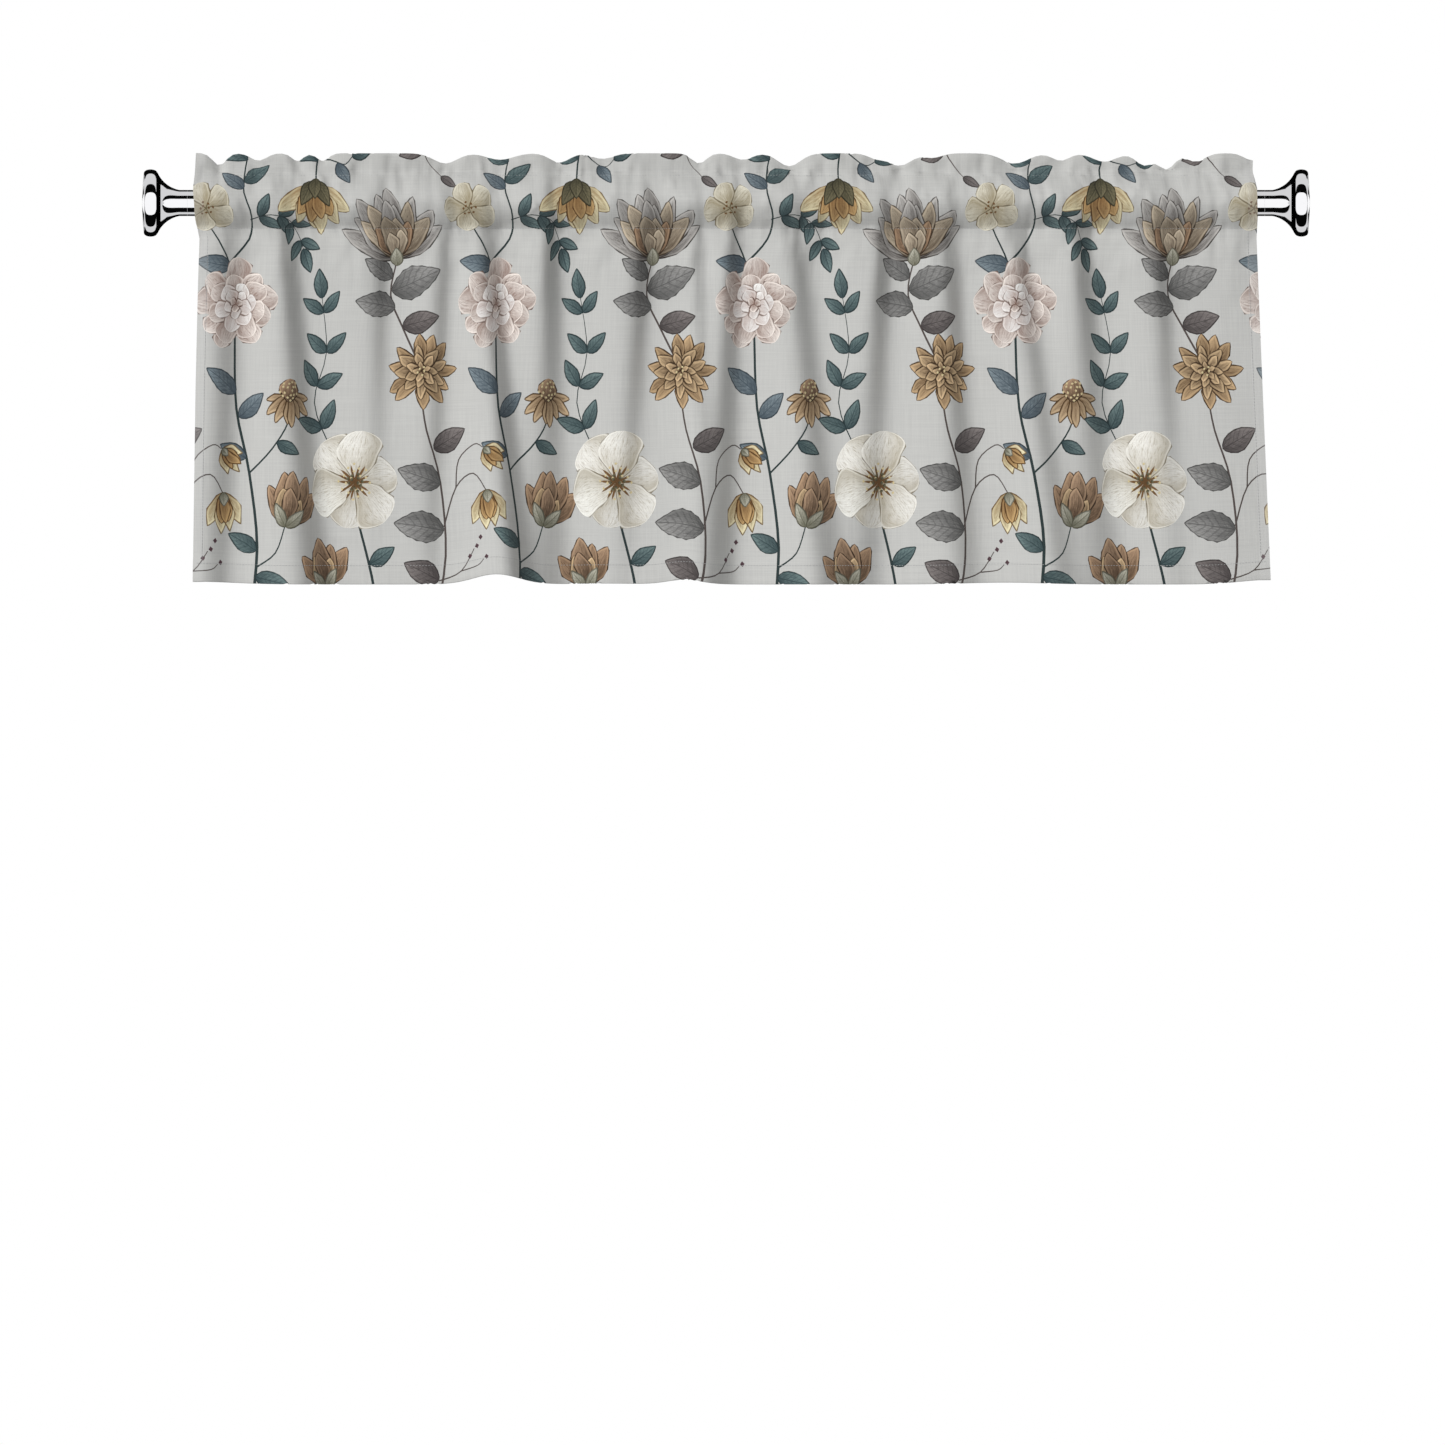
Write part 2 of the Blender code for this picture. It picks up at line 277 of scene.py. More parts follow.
# The cloth's folds
def fold_forward(x, share):
    """How far the folds push the cloth forward at x, share of the way from seam to hem."""
    total = np.zeros_like(x)
    for at_seam, at_hem in FOLDS:
        place, depth, softness, left, right = (
            mix(seam, hem, share) for seam, hem in zip(at_seam, at_hem))
        distance = x / MM - place
        reach = np.where(distance < 0.0, left, right)
        total -= 0.5 * depth * np.tanh(distance / softness) * bell(distance, reach)
    return total * MM


def heading_drop(x):
    """How far the gathers pull the heading's top edge down."""
    return MM * sum(row.drop * bell(x / MM - row.x, row.half_width) for row in GATHERS)


def hem_lift(x):
    """How far the hem line rises."""
    return MM * sum(row.rise * bell(x / MM - row.x, row.half_width) for row in LIFTS)


def heading_forward(x, z):
    """How far the heading stands in front of the rod's axis plane."""
    rise = np.clip((z - HEADING_SEAM) / (HEADING_TOP - HEADING_SEAM), 0.0, HIGHEST_RISE)
    lean = HEADING_LEAN - HEADING_FOLD_SHARE * heading_drop(x)
    return mix(HEADING_SEAM_SHARE, 1.0, rise) * lean


def hanging_forward(x, z):
    """How far the folds bring the hanging cloth forward."""
    below = np.maximum(POCKET_SEAM - z, 0.0)
    share = below / (POCKET_SEAM - HEM_BOTTOM)
    growth = mix(SEAM_FOLD_SHARE, 1.0, smooth_step(below / FOLD_GROWTH))
    return growth * fold_forward(x, share)


def forward(x, z):
    """How far the middle of the cloth stands in front of the rod's axis plane."""
    share = np.clip((HEADING_SEAM - z) / (HEADING_SEAM - POCKET_SEAM), 0.0, 1.0)
    return mix(heading_forward(x, z), hanging_forward(x, z), share)


def scatter_puckers():
    """Rows of place, depth, half width, reach and drift, from left to right."""
    rng = random.Random(PUCKER_SEED)
    puckers = []
    from_left, from_right = PUCKER_EDGES
    x = LEFT_EDGE_TOP / MM + from_left
    while x < RIGHT_EDGE_TOP / MM - from_right:
        puckers.append((x, rng.uniform(*PUCKER_DEPTH), rng.uniform(*PUCKER_HALF_WIDTH),
                        rng.uniform(*PUCKER_REACH), rng.uniform(-PUCKER_DRIFT, PUCKER_DRIFT)))
        x += rng.uniform(*PUCKER_SPACING)
    return puckers


PUCKERS = scatter_puckers()


def pucker_depth(x, z):
    """The small troughs at the two rows of stitching."""
    below = (POCKET_SEAM - z) / MM
    above = (z - HEADING_SEAM) / MM
    in_pocket = bell(below, PUCKER_POCKET_REACH) + bell(above, PUCKER_POCKET_REACH)
    total = np.zeros_like(x)
    for place, depth, half_width, reach, drift in PUCKERS:
        fade = np.where(below > 0.0, bell(below, reach), np.minimum(in_pocket, 1.0))
        fade = np.where(above > 0.0, PUCKER_HEADING_GAIN * bell(above, PUCKER_HEADING_REACH), fade)
        width = half_width * (1.0 + np.maximum(below, 0.0) / PUCKER_SPREAD)
        distance = x / MM - place - drift * np.maximum(below, 0.0)
        total += depth * fade * bell(distance, width)
    return total * MM


def wrinkle_height(x, z):
    """The slanting ridges on the front of the pocket and the heading."""
    total = np.zeros_like(x)
    for row in WRINKLES:
        cosine = math.cos(math.radians(row.turn))
        sine = math.sin(math.radians(row.turn))
        sideways = x / MM - row.x
        upwards = z / MM - row.z
        along = sideways * cosine + upwards * sine
        off = sideways * sine - upwards * cosine
        total += row.height * bell(along, row.reach) * bell(off, row.half_width)
    fade = bell(np.maximum(POCKET_SEAM - z, 0.0) / MM, WRINKLE_FADE)
    return total * fade * MM


# The sewn section runs from the turned-up end of the hem, up the front, over the heading and
# down to the end of the pocket's back. These are the numbers of the points where it changes.
TURN_POINTS = 7
POCKET_POINTS = 25
FOLD_START = 1
FOLD_END = FOLD_START + TURN_POINTS - 1
HEM_FRONT = FOLD_END + 1
HANGING_START = HEM_FRONT + 1
FRONT_POCKET_START = HANGING_START + 2
FRONT_POCKET_END = FRONT_POCKET_START + POCKET_POINTS - 1
TOP_START = FRONT_POCKET_END + 1
TOP_END = TOP_START + TURN_POINTS - 1
BACK_POCKET_START = TOP_END + 1
BACK_POCKET_END = BACK_POCKET_START + POCKET_POINTS - 1


def pocket_layer(side, start, end):
    """One layer of the pocket, bulging round the rod from one row of stitching to the other."""
    layer = []
    for share in np.linspace(0.0, 1.0, POCKET_POINTS):
        bulge = max(LAYER_GAP, POCKET_DEPTH * math.sin(math.pi * share))
        layer.append((side * bulge, mix(start, end, share)))
    return layer


def half_turn(side, middle):
    """A fold of the cloth: half a circle that bows down for -1 and up for 1."""
    return [(-side * LAYER_GAP * math.cos(turn), middle + side * LAYER_GAP * math.sin(turn))
            for turn in np.linspace(0.0, math.pi, TURN_POINTS)]


def sewn_section():
    """Depth and height of the section, with the length along it, as three arrays."""
    points = [(LAYER_GAP, HEM_TOP)]
    points += half_turn(-1.0, HEM_BOTTOM + LAYER_GAP)
    points.append((-LAYER_GAP, HEM_TOP - HEM_STEP))
    points += [(0.0, HEM_TOP + SEAM_EASE), (0.0, POCKET_SEAM - SEAM_EASE)]
    points += pocket_layer(-1.0, POCKET_SEAM, HEADING_SEAM)
    points += half_turn(1.0, HEADING_TOP - LAYER_GAP)
    points += pocket_layer(1.0, HEADING_SEAM, POCKET_SEAM)
    points.append((LAYER_GAP, POCKET_SEAM - TAIL))
    path = np.array(points)
    along = np.concatenate([[0.0], np.cumsum(np.hypot(*np.diff(path, axis=0).T))])
    return path[:, 0], path[:, 1], along


SECTION_DEPTH, SECTION_HEIGHT, SECTION_ALONG = sewn_section()
FLAT_LENGTH = float(SECTION_ALONG[-1])
HEM_FOLD = HEM_TOP - HEM_BOTTOM


def length_to(point):
    """The cloth's length from its turned-up end to a numbered point of the section."""
    return float(SECTION_ALONG[point])


SEAM_ALONG = length_to(FRONT_POCKET_START)


def edges_at(z):
    """Where the left and the right edge hang at height z."""
    share = (HEADING_TOP - z) / (HEADING_TOP - HEM_BOTTOM)
    heights = [row.z * MM for row in EDGE_SHIFTS]
    left = mix(LEFT_EDGE_TOP, LEFT_EDGE_BOTTOM, share)
    right = mix(RIGHT_EDGE_TOP, RIGHT_EDGE_BOTTOM, share)
    left_shift = np.interp(z, heights, [row.left * MM for row in EDGE_SHIFTS])
    right_shift = np.interp(z, heights, [row.right * MM for row in EDGE_SHIFTS])
    return left + left_shift, right + right_shift


def arc_tables():
    """For each height, the hung places across the cloth and the cloth's length up to them."""
    tables = []
    for z in np.linspace(HEM_BOTTOM, HEADING_TOP, HEIGHT_LEVELS):
        left, right = edges_at(z)
        x = np.linspace(left, right, LEVEL_POINTS)
        y = forward(x, np.full_like(x, z))
        steps = np.hypot(np.diff(x), np.diff(y))
        tables.append((x, np.concatenate([[0.0], np.cumsum(steps)])))
    return tables


ARC_TABLES = arc_tables()

# The width of the flat cloth between the folds of its side hems. It is a little more than the
# longest hung arc, and fine gathers take up the rest.
FLAT_WIDTH = 1.290


def across(u, z):
    """Where a point of the flat cloth, u from its left edge, comes to lie at height z."""
    level = (z - HEM_BOTTOM) / (HEADING_TOP - HEM_BOTTOM) * (HEIGHT_LEVELS - 1)
    level = np.clip(level, 0.0, HEIGHT_LEVELS - 1.001)
    lower = level.astype(int)
    x = np.zeros_like(u)
    for index, (places, arc) in enumerate(ARC_TABLES):
        here = np.interp(u, arc / arc[-1] * FLAT_WIDTH, places)
        weight = np.where(lower == index, 1.0 - (level - lower), 0.0)
        weight = np.where(lower + 1 == index, level - lower, weight)
        x += weight * here
    return x


def slope(x, z, across_x, across_z):
    """How steeply the cloth comes forward on the way (across_x, across_z)."""
    ahead = forward(x + across_x, z + across_z)
    behind = forward(x - across_x, z - across_z)
    return (ahead - behind) / (2.0 * SLOPE_STEP)


def hang(u, v):
    """Takes points of the flat cloth to their places on the hung one."""
    y = np.interp(v, SECTION_ALONG, SECTION_DEPTH)
    z = np.interp(v, SECTION_ALONG, SECTION_HEIGHT)
    x = across(u, z)
    in_pocket = (z > POCKET_SEAM) & (z < HEADING_SEAM)
    round_rod = np.where(in_pocket, np.minimum(1.0, np.abs(y) / POCKET_DEPTH), 0.0)
    loose = 1.0 - round_rod
    fold = np.tanh(fold_forward(x, np.zeros_like(x)) / PUCKER_SOFTNESS)
    pucker = 0.5 * POCKET_PUCKER * (1.0 + fold)
    slope_x = slope(x, z, SLOPE_STEP, 0.0)
    slope_z = slope(x, z, 0.0, SLOPE_STEP)
    steep = np.sqrt(slope_x ** 2 + 1.0 + slope_z ** 2)
    depth = -forward(x, z) * loose + y * (loose / steep + round_rod)
    place = np.stack([
        x + y * loose * slope_x / steep,
        depth + np.sign(y) * pucker * round_rod,
        z + y * loose * slope_z / steep,
    ], axis=-1)
    # The pocket's back takes the puckers the other way and no wrinkles
    apart = np.where(y > 0.0, smooth_step(2.0 * round_rod), 0.0)
    place[..., 1] += pucker_depth(x, z) * (1.0 - 2.0 * apart)
    place[..., 1] -= wrinkle_height(x, z) * (1.0 - apart)
    heading_share = (z - HEADING_SEAM) / (HEADING_TOP - HEADING_SEAM)
    hanging_share = np.maximum(0.0, (POCKET_SEAM - z) / (POCKET_SEAM - HEM_BOTTOM))
    place[..., 2] -= heading_drop(x) * smooth_step(heading_share)
    place[..., 2] += hem_lift(x) * hanging_share ** HEM_LIFT_POWER
    return place


def unit(vectors):
    """The same directions, all 1 long."""
    lengths = np.linalg.norm(vectors, axis=-1, keepdims=True)
    return vectors / np.maximum(lengths, SHORTEST_NORMAL)


def hang_with_normals(u, v):
    """Places on the hung cloth with the direction that its printed face looks in."""
    along_u = hang(u + NORMAL_STEP, v) - hang(u - NORMAL_STEP, v)
    along_v = hang(u, v + NORMAL_STEP) - hang(u, v - NORMAL_STEP)
    return hang(u, v), unit(np.cross(along_u, along_v))


# The rows of the mesh: the stretches of the flat cloth with the number of rows on each
Stretch = namedtuple("Stretch", "start end rows")
STRETCHES = (
    Stretch(0.0, HEM_FOLD - 0.0008, 4),
    Stretch(length_to(FOLD_START), length_to(FOLD_END), 5),
    Stretch(length_to(FOLD_END), length_to(HEM_FRONT), 5),
    Stretch(length_to(HANGING_START), SEAM_ALONG - 0.0005, 33),
    Stretch(SEAM_ALONG, length_to(FRONT_POCKET_END), 13),
    Stretch(length_to(FRONT_POCKET_END), length_to(TOP_START), 6),
    Stretch(length_to(TOP_START), length_to(TOP_END), 5),
    Stretch(length_to(TOP_END), length_to(BACK_POCKET_START), 5),
    Stretch(length_to(BACK_POCKET_START), length_to(BACK_POCKET_END), 11),
    Stretch(FLAT_LENGTH, FLAT_LENGTH, 1),
)


def flat_rows():
    """Places of the mesh rows along the flat cloth, in millimetres."""
    rows = set()
    for stretch in STRETCHES:
        places = np.linspace(stretch.start, stretch.end, stretch.rows)
        rows.update(round(place / MM, 3) for place in places)
    return sorted(rows)


def tight_rows(rows):
    """The rows that lie close together, at the folds and at the rows of stitching."""
    return [row for before, row, after in zip(rows, rows[1:], rows[2:])
            if min(row - before, after - row) < TIGHT_ROW]


# Colours of the print
def paint(red, green, blue):
    """Turns a colour as it looks on a screen, 0 to 255, into shader values."""
    return tuple(((level / 255.0 + 0.055) / 1.055) ** 2.4 for level in (red, green, blue))


# A finish is the colour at a petal's foot, the colour of its blade, the share of its length
# over which one turns into the other, and how late that happens
Finish = namedtuple("Finish", "deep pale reach late")
GROUND = paint(199, 199, 196)
WHITE_PETAL = Finish(paint(166, 155, 130), paint(244, 242, 235), 0.74, 0.60)
CREAM_PETAL = Finish(paint(150, 136, 104), paint(233, 228, 210), 0.90, 0.9)
TAN_PETAL = Finish(paint(80, 58, 38), paint(202, 172, 134), 1.0, 1.1)
TAN_RING = Finish(paint(66, 46, 30), paint(216, 187, 148), 1.0, 1.45)
PALE_TAN_PETAL = Finish(paint(100, 74, 48), paint(206, 180, 146), 1.0, 1.0)
BROWN_PETAL = Finish(paint(66, 49, 37), paint(184, 153, 124), 1.0, 1.1)
BROWN_RING = Finish(paint(58, 42, 31), paint(192, 161, 132), 1.0, 1.4)
DUSTY_PETAL = Finish(paint(76, 70, 66), paint(196, 193, 189), 1.0, 1.1)
SAND_PETAL = Finish(paint(80, 66, 52), paint(212, 197, 174), 1.0, 1.15)
ROSE_RING = Finish(paint(134, 104, 92), paint(241, 232, 225), 1.0, 1.35)
BLUSH_PETAL = Finish(paint(184, 160, 150), paint(247, 243, 240), 0.85, 0.75)
OCHRE_PETAL = Finish(paint(104, 70, 40), paint(200, 166, 116), 1.0, 1.1)
LEMON_PETAL = Finish(paint(140, 106, 62), paint(231, 221, 184), 0.90, 0.9)
TEAL_LEAF = Finish(paint(46, 62, 66), paint(118, 138, 138), 1.0, 0.7)
BLUE_LEAF = Finish(paint(62, 74, 83), paint(136, 149, 156), 1.0, 0.7)
GREY_LEAF = Finish(paint(80, 80, 79), paint(164, 163, 161), 1.0, 0.7)
MOLE_LEAF = Finish(paint(68, 63, 63), paint(138, 131, 129), 1.0, 0.7)
OLIVE_SEPAL = Finish(paint(56, 54, 40), paint(122, 115, 90), 0.95, 1.0)
SAGE_SEPAL = Finish(paint(100, 99, 82), paint(198, 196, 180), 0.90, 1.0)
STEM_GREEN = Finish(paint(50, 62, 62), paint(50, 62, 62), 1.0, 1.0)
TWIG_BROWN = Finish(paint(88, 80, 77), paint(88, 80, 77), 1.0, 1.0)
SEED_YELLOW = Finish(paint(196, 178, 132), paint(226, 212, 170), 1.0, 1.0)
SEED_BROWN = Finish(paint(96, 70, 44), paint(128, 98, 66), 1.0, 1.0)
BERRY = Finish(paint(72, 52, 58), paint(98, 74, 80), 1.0, 1.0)
TONE_SPREAD = (0.80, 1.08)
PALEST = 0.93

# What is drawn in a petal: fine streaks along it, slanting veins, and its dark outline
Lines = namedtuple("Lines", "streaks veins outline")
NO_LINES = Lines(0.0, 0.0, 0.0)
PETAL_LINES = Lines(0.42, 0.14, 0.85)
WHITE_LINES = Lines(0.40, 0.10, 0.80)
LEAF_LINES = Lines(0.16, 0.75, 0.70)

# The form of a petal: where along it it is widest, and how round it is drawn
Form = namedtuple("Form", "belly roundness")
BROAD = Form(1.75, 0.52)
ROUND = Form(1.25, 0.50)
CUP = Form(1.15, 0.70)
LEAFY = Form(0.78, 0.85)
SLIM = Form(0.90, 1.00)
STRAIGHT = Form(1.0, 0.0)
DOT = Form(1.0, 0.5)

# How uneven a petal's two sides are
WAVE_TURNS = 9.0
WAVE_SHIFT = 1.7
WAVE_SIDE = 2.1
WAVE_DEPTH = 0.30

# How stems, leaves and seeds are divided and laid
STEM_STEPS = 4
STEM_OVERLAP = 1.04
SPRAY_STEPS = 6
PLAIN_POINTS = 8
TOOTHED_POINTS = 16
SEED_TURN = 137.5

# How far the petals of a flower stray from their table, as spans for the random draws
SEED_JITTER = (-12, 12)
PETAL_JITTER = (-7, 7)
PETAL_LENGTHS = (0.87, 1.08)
PETAL_WIDTHS = (0.92, 1.08)
PETAL_BENDS = (-0.09, 0.09)
FAN_LENGTHS = (0.86, 1.06)
FAN_WIDTHS = (0.88, 1.12)
FAN_BENDS = (0.02, 0.15)
FAN_SHORTENING = 0.12
FAN_FRONT = 0.45
FAN_POINTS = 7
FAN_TEETH = 0.08

Petal = namedtuple("Petal", "x y turn length width form finish lines bend points teeth")


def toned(finish, rng):
    """The same finish, a little lighter or darker."""
    tone = rng.uniform(*TONE_SPREAD)
    return finish._replace(pale=tuple(min(PALEST, tone * level) for level in finish.pale))


def petal(x, y, turn, length, width, form, finish, lines=PETAL_LINES, bend=0.0, points=6,
          teeth=0.0):
    """One closed shape of the print. Width is half the breadth, as a share of the length."""
    return Petal(x, y, math.radians(turn), length, width, form, finish, lines, bend, points,
                 teeth)


def half_breadth(shape, along, side):
    """Half the breadth of a petal at a place along it, a little uneven, on its left or right."""
    even = shape.width * math.sin(math.pi * along ** shape.form.belly) ** shape.form.roundness
    wave = math.sin(WAVE_TURNS * along + WAVE_SHIFT * shape.length + WAVE_SIDE * side)
    return even * (1.0 + WAVE_DEPTH * shape.lines.streaks * wave)


def petal_outline(shape):
    """The corners of a petal on the flat cloth, in millimetres."""
    steps = shape.points
    if shape.form.roundness == 0.0:
        sides = [(0.0, shape.width), (1.0, shape.width)]
        local = sides + [(along, -side) for along, side in reversed(sides)]
    else:
        alongs = [0.5 - 0.5 * math.cos(math.pi * k / steps) for k in range(steps + 1)]
        spare = OUTLINE_SPARE / shape.length
        left, right = [
            [(along, side * (half_breadth(shape, along, side) * (1.0 - shape.teeth * (k % 2))
                             + spare))
             for k, along in enumerate(alongs) if 0 < k < steps]
            for side in (1.0, -1.0)]
        local = [(0.0, 0.0)] + left + [(1.0, 0.0)] + right[::-1]
    cosine = math.cos(shape.turn)
    sine = math.sin(shape.turn)
    corners = []
    for along, side in local:
        lifted = side + shape.bend * along ** 2
        corners.append(Vector((
            shape.x + shape.length * (along * cosine - lifted * sine),
            shape.y + shape.length * (along * sine + lifted * cosine))))
    return corners[::-1]


# Parts of plants
def smooth_path(points, steps):
    """A smooth line through the given points."""
    padded = [points[0]] + list(points) + [points[-1]]
    line = []
    for a, b, c, d in zip(padded, padded[1:], padded[2:], padded[3:]):
        for step in range(steps):
            t = step / steps
            line.append(tuple(
                0.5 * (2.0 * q + (r - p) * t + (2.0 * p - 5.0 * q + 4.0 * r - s) * t * t
                       + (3.0 * q - p - 3.0 * r + s) * t ** 3)
                for p, q, r, s in zip(a, b, c, d)))
    line.append(tuple(points[-1]))
    return line


def stem(points, thick, thin, finish=STEM_GREEN):
    """A tapering stem through the given points."""
    line = smooth_path(points, STEM_STEPS)
    pieces = []
    for index, (here, after) in enumerate(zip(line, line[1:])):
        length = math.dist(here, after)
        breadth = mix(thick, thin, index / (len(line) - 1))
        turn = math.degrees(math.atan2(after[1] - here[1], after[0] - here[0]))
        pieces.append(petal(here[0], here[1], turn, length * STEM_OVERLAP,
                            0.5 * breadth / length, STRAIGHT, finish, NO_LINES))
    return pieces


def leaf(x, y, turn, length, width, finish, teeth=0.0, bend=0.0):
    """A veined leaf or sepal from its foot."""
    points = TOOTHED_POINTS if teeth else PLAIN_POINTS
    return petal(x, y, turn, length, width, LEAFY, finish, LEAF_LINES, bend, points, teeth)


def seed_dots(x, y, radius, count, size, finish, rng):
    """Small round seeds scattered over a flower's middle."""
    dots = []
    for index in range(count):
        away = radius * math.sqrt((index + 0.5) / count)
        turn = index * SEED_TURN + rng.uniform(*SEED_JITTER)
        dots.append(petal(x + away * math.cos(math.radians(turn)),
                          y + away * math.sin(math.radians(turn)), turn, size, 0.5, DOT, finish,
                          NO_LINES, points=2))
    return dots


def open_flower(x, y, radius, count, turn, width, form, finish, rng, lines=PETAL_LINES,
                points=6, teeth=0.0):
    """Petals round a middle, seen face on. Every second petal lies under its neighbours."""
    order = list(range(0, count, 2)) + list(range(1, count, 2))
    flower = []
    for index in order:
        angle = turn + 360.0 * index / count + rng.uniform(*PETAL_JITTER)
        length = radius * rng.uniform(*PETAL_LENGTHS)
        breadth = width * rng.uniform(*PETAL_WIDTHS)
        flower.append(petal(x, y, angle, length, breadth, form, toned(finish, rng), lines,
                            rng.uniform(*PETAL_BENDS), points, teeth))
    return flower


def side_bloom(x, y, turn, length, spread, count, width, form, finish, front_finish, rng):
    """Petals that fan from one foot, the outer ones behind and the middle ones in front."""
    bloom = []
    angles = [spread * (2.0 * index / (count - 1) - 1.0) for index in range(count)]
    for angle in sorted(angles, key=lambda a: -abs(a)):
        shortened = 1.0 - FAN_SHORTENING * abs(angle) / spread
        reach = length * shortened * rng.uniform(*FAN_LENGTHS)
        colours = front_finish if abs(angle) < FAN_FRONT * spread else finish
        bend = rng.uniform(*FAN_BENDS) * (-1.0 if angle > 0.0 else 1.0)
        breadth = width * rng.uniform(*FAN_WIDTHS)
        bloom.append(petal(x, y, turn + angle, reach, breadth, form, toned(colours, rng),
                           PETAL_LINES, bend, FAN_POINTS, FAN_TEETH))
    return bloom


# A double flower is a few rings of petals, each ring on top of the one before it
Ring = namedtuple("Ring", "lift radius count turn width form finish points teeth")
DAHLIA = (
    Ring(0, 40, 11, 6, 0.19, CUP, TAN_PETAL, 6, 0.06),
    Ring(1, 31, 9, 22, 0.23, CUP, TAN_RING, 6, 0.06),
    Ring(2, 21, 7, 0, 0.28, CUP, TAN_RING, 6, 0.0),
    Ring(2, 12, 5, 30, 0.36, ROUND, TAN_RING, 4, 0.0),
)
ROSETTE = (
    Ring(0, 50, 9, 12, 0.32, BROAD, ROSE_RING, 8, 0.15),
    Ring(0, 39, 7, 40, 0.38, BROAD, ROSE_RING, 7, 0.13),
    Ring(1, 28, 6, 8, 0.42, BROAD, BLUSH_PETAL, 6, 0.08),
    Ring(2, 18, 5, 50, 0.48, ROUND, BLUSH_PETAL, 6, 0.0),
    Ring(2, 9, 3, 20, 0.60, ROUND, ROSE_RING, 4, 0.0),
)

# A bloom seen from the side is a few fans of petals. Lengths are multiplied by its size.
Fan = namedtuple("Fan", "lift turn length spread count width form finish front")
LOTUS = (
    Fan(0, 0, 84, 66, 8, 0.17, CUP, DUSTY_PETAL, DUSTY_PETAL),
    Fan(2, -2, 70, 48, 6, 0.19, CUP, SAND_PETAL, DUSTY_PETAL),
    Fan(2, 0, 53, 34, 4, 0.22, CUP, BROWN_PETAL, SAND_PETAL),
    Fan(2, -2, 35, 20, 2, 0.29, CUP, SAND_PETAL, SAND_PETAL),
)
HANGING_BLOOM = (
    Fan(0, 0, 62, 58, 6, 0.19, CUP, LEMON_PETAL, LEMON_PETAL),
    Fan(0, 0, 46, 34, 4, 0.22, CUP, OCHRE_PETAL, OCHRE_PETAL),
)
BELL = (
    Fan(0, 0, 1.0, 34, 4, 0.22, SLIM, LEMON_PETAL, LEMON_PETAL),
    Fan(0, 0, 0.86, 16, 3, 0.22, CUP, OCHRE_PETAL, OCHRE_PETAL),
)
GOBLET = (
    Fan(0, 0, 1.0, 40, 5, 0.21, CUP, BROWN_PETAL, BROWN_RING),
    Fan(0, 0, 0.74, 24, 3, 0.26, CUP, TAN_RING, BROWN_RING),
)
CONE_FLOWER = (
    Fan(0, 0, 36, 82, 8, 0.17, CUP, PALE_TAN_PETAL, PALE_TAN_PETAL),
)


def ringed_flower(x, y, rings, rng):
    """A double flower from its table of rings."""
    flower = []
    for ring in rings:
        flower += open_flower(x, y + ring.lift, ring.radius, ring.count, ring.turn, ring.width,
                              ring.form, ring.finish, rng, PETAL_LINES, ring.points, ring.teeth)
    return flower


def fanned_bloom(x, y, turn, fans, rng, size=1.0):
    """A bloom seen from the side, from its table of fans."""
    bloom = []
    for fan in fans:
        bloom += side_bloom(x, y + fan.lift, turn + fan.turn, size * fan.length, fan.spread,
                            fan.count, fan.width, fan.form, fan.finish, fan.front, rng)
    return bloom


def leaf_spray(points, pairs, length, width, finish, open_angle=52.0):
    """A thin stem with leaflets in pairs and one at its end."""
    line = smooth_path(points, SPRAY_STEPS)
    spray = stem(points, 1.3, 0.7)
    for pair in range(pairs):
        index = int((0.22 + 0.68 * pair / max(1, pairs - 1)) * (len(line) - 1))
        here, after = line[index], line[min(index + 1, len(line) - 1)]
        way = math.degrees(math.atan2(after[1] - here[1], after[0] - here[0]))
        size = length * (1.0 - 0.22 * pair / pairs)
        for side in (-1, 1):
            spray.append(leaf(here[0], here[1], way + side * open_angle, size, width, finish,
                              bend=-0.08 * side))
    here, after = line[-2], line[-1]
    way = math.degrees(math.atan2(after[1] - here[1], after[0] - here[0]))
    spray.append(leaf(after[0], after[1], way, length * 0.95, width, finish))
    return spray


# The print: one repeat, drawn on the flat cloth from the hem's fold upwards, millimetres
PRINT_REPEAT = 318.0
PRINT_RISE = 520.0
PRINT_START = -190.0
PRINT_SEED = 4


# Stems through their points, with the breadth at the foot and at the tip
Stem = namedtuple("Stem", "points foot tip finish")
LOWER_STEMS = (
    Stem([(258, -40), (266, 40), (256, 120), (240, 190), (236, 268)], 3.6, 2.5, STEM_GREEN),
    Stem([(96, -40), (88, 10), (74, 66)], 3.2, 2.4, STEM_GREEN),
    Stem([(158, -40), (172, 30), (168, 110), (152, 166), (146, 204)], 2.6, 1.7, TWIG_BROWN),
    Stem([(146, 232), (122, 276), (106, 312), (112, 352)], 2.3, 1.5, TWIG_BROWN),
    Stem([(171, 62), (186, 104), (208, 118), (224, 98)], 1.7, 1.1, TWIG_BROWN),
    Stem([(186, 104), (190, 134), (210, 150), (221, 146)], 1.5, 1.0, TWIG_BROWN),
    Stem([(256, 120), (284, 146), (302, 174), (304, 200)], 2.0, 1.3, STEM_GREEN),
    Stem([(265, 18), (288, 34), (299, 62)], 1.8, 1.2, STEM_GREEN),
    Stem([(42, -40), (36, -20), (34, 0)], 2.2, 1.8, STEM_GREEN),
    Stem([(164, 4), (190, 12), (206, 34)], 1.5, 0.9, TWIG_BROWN),
    Stem([(190, 12), (210, 14), (218, 20)], 1.3, 0.8, TWIG_BROWN),
)
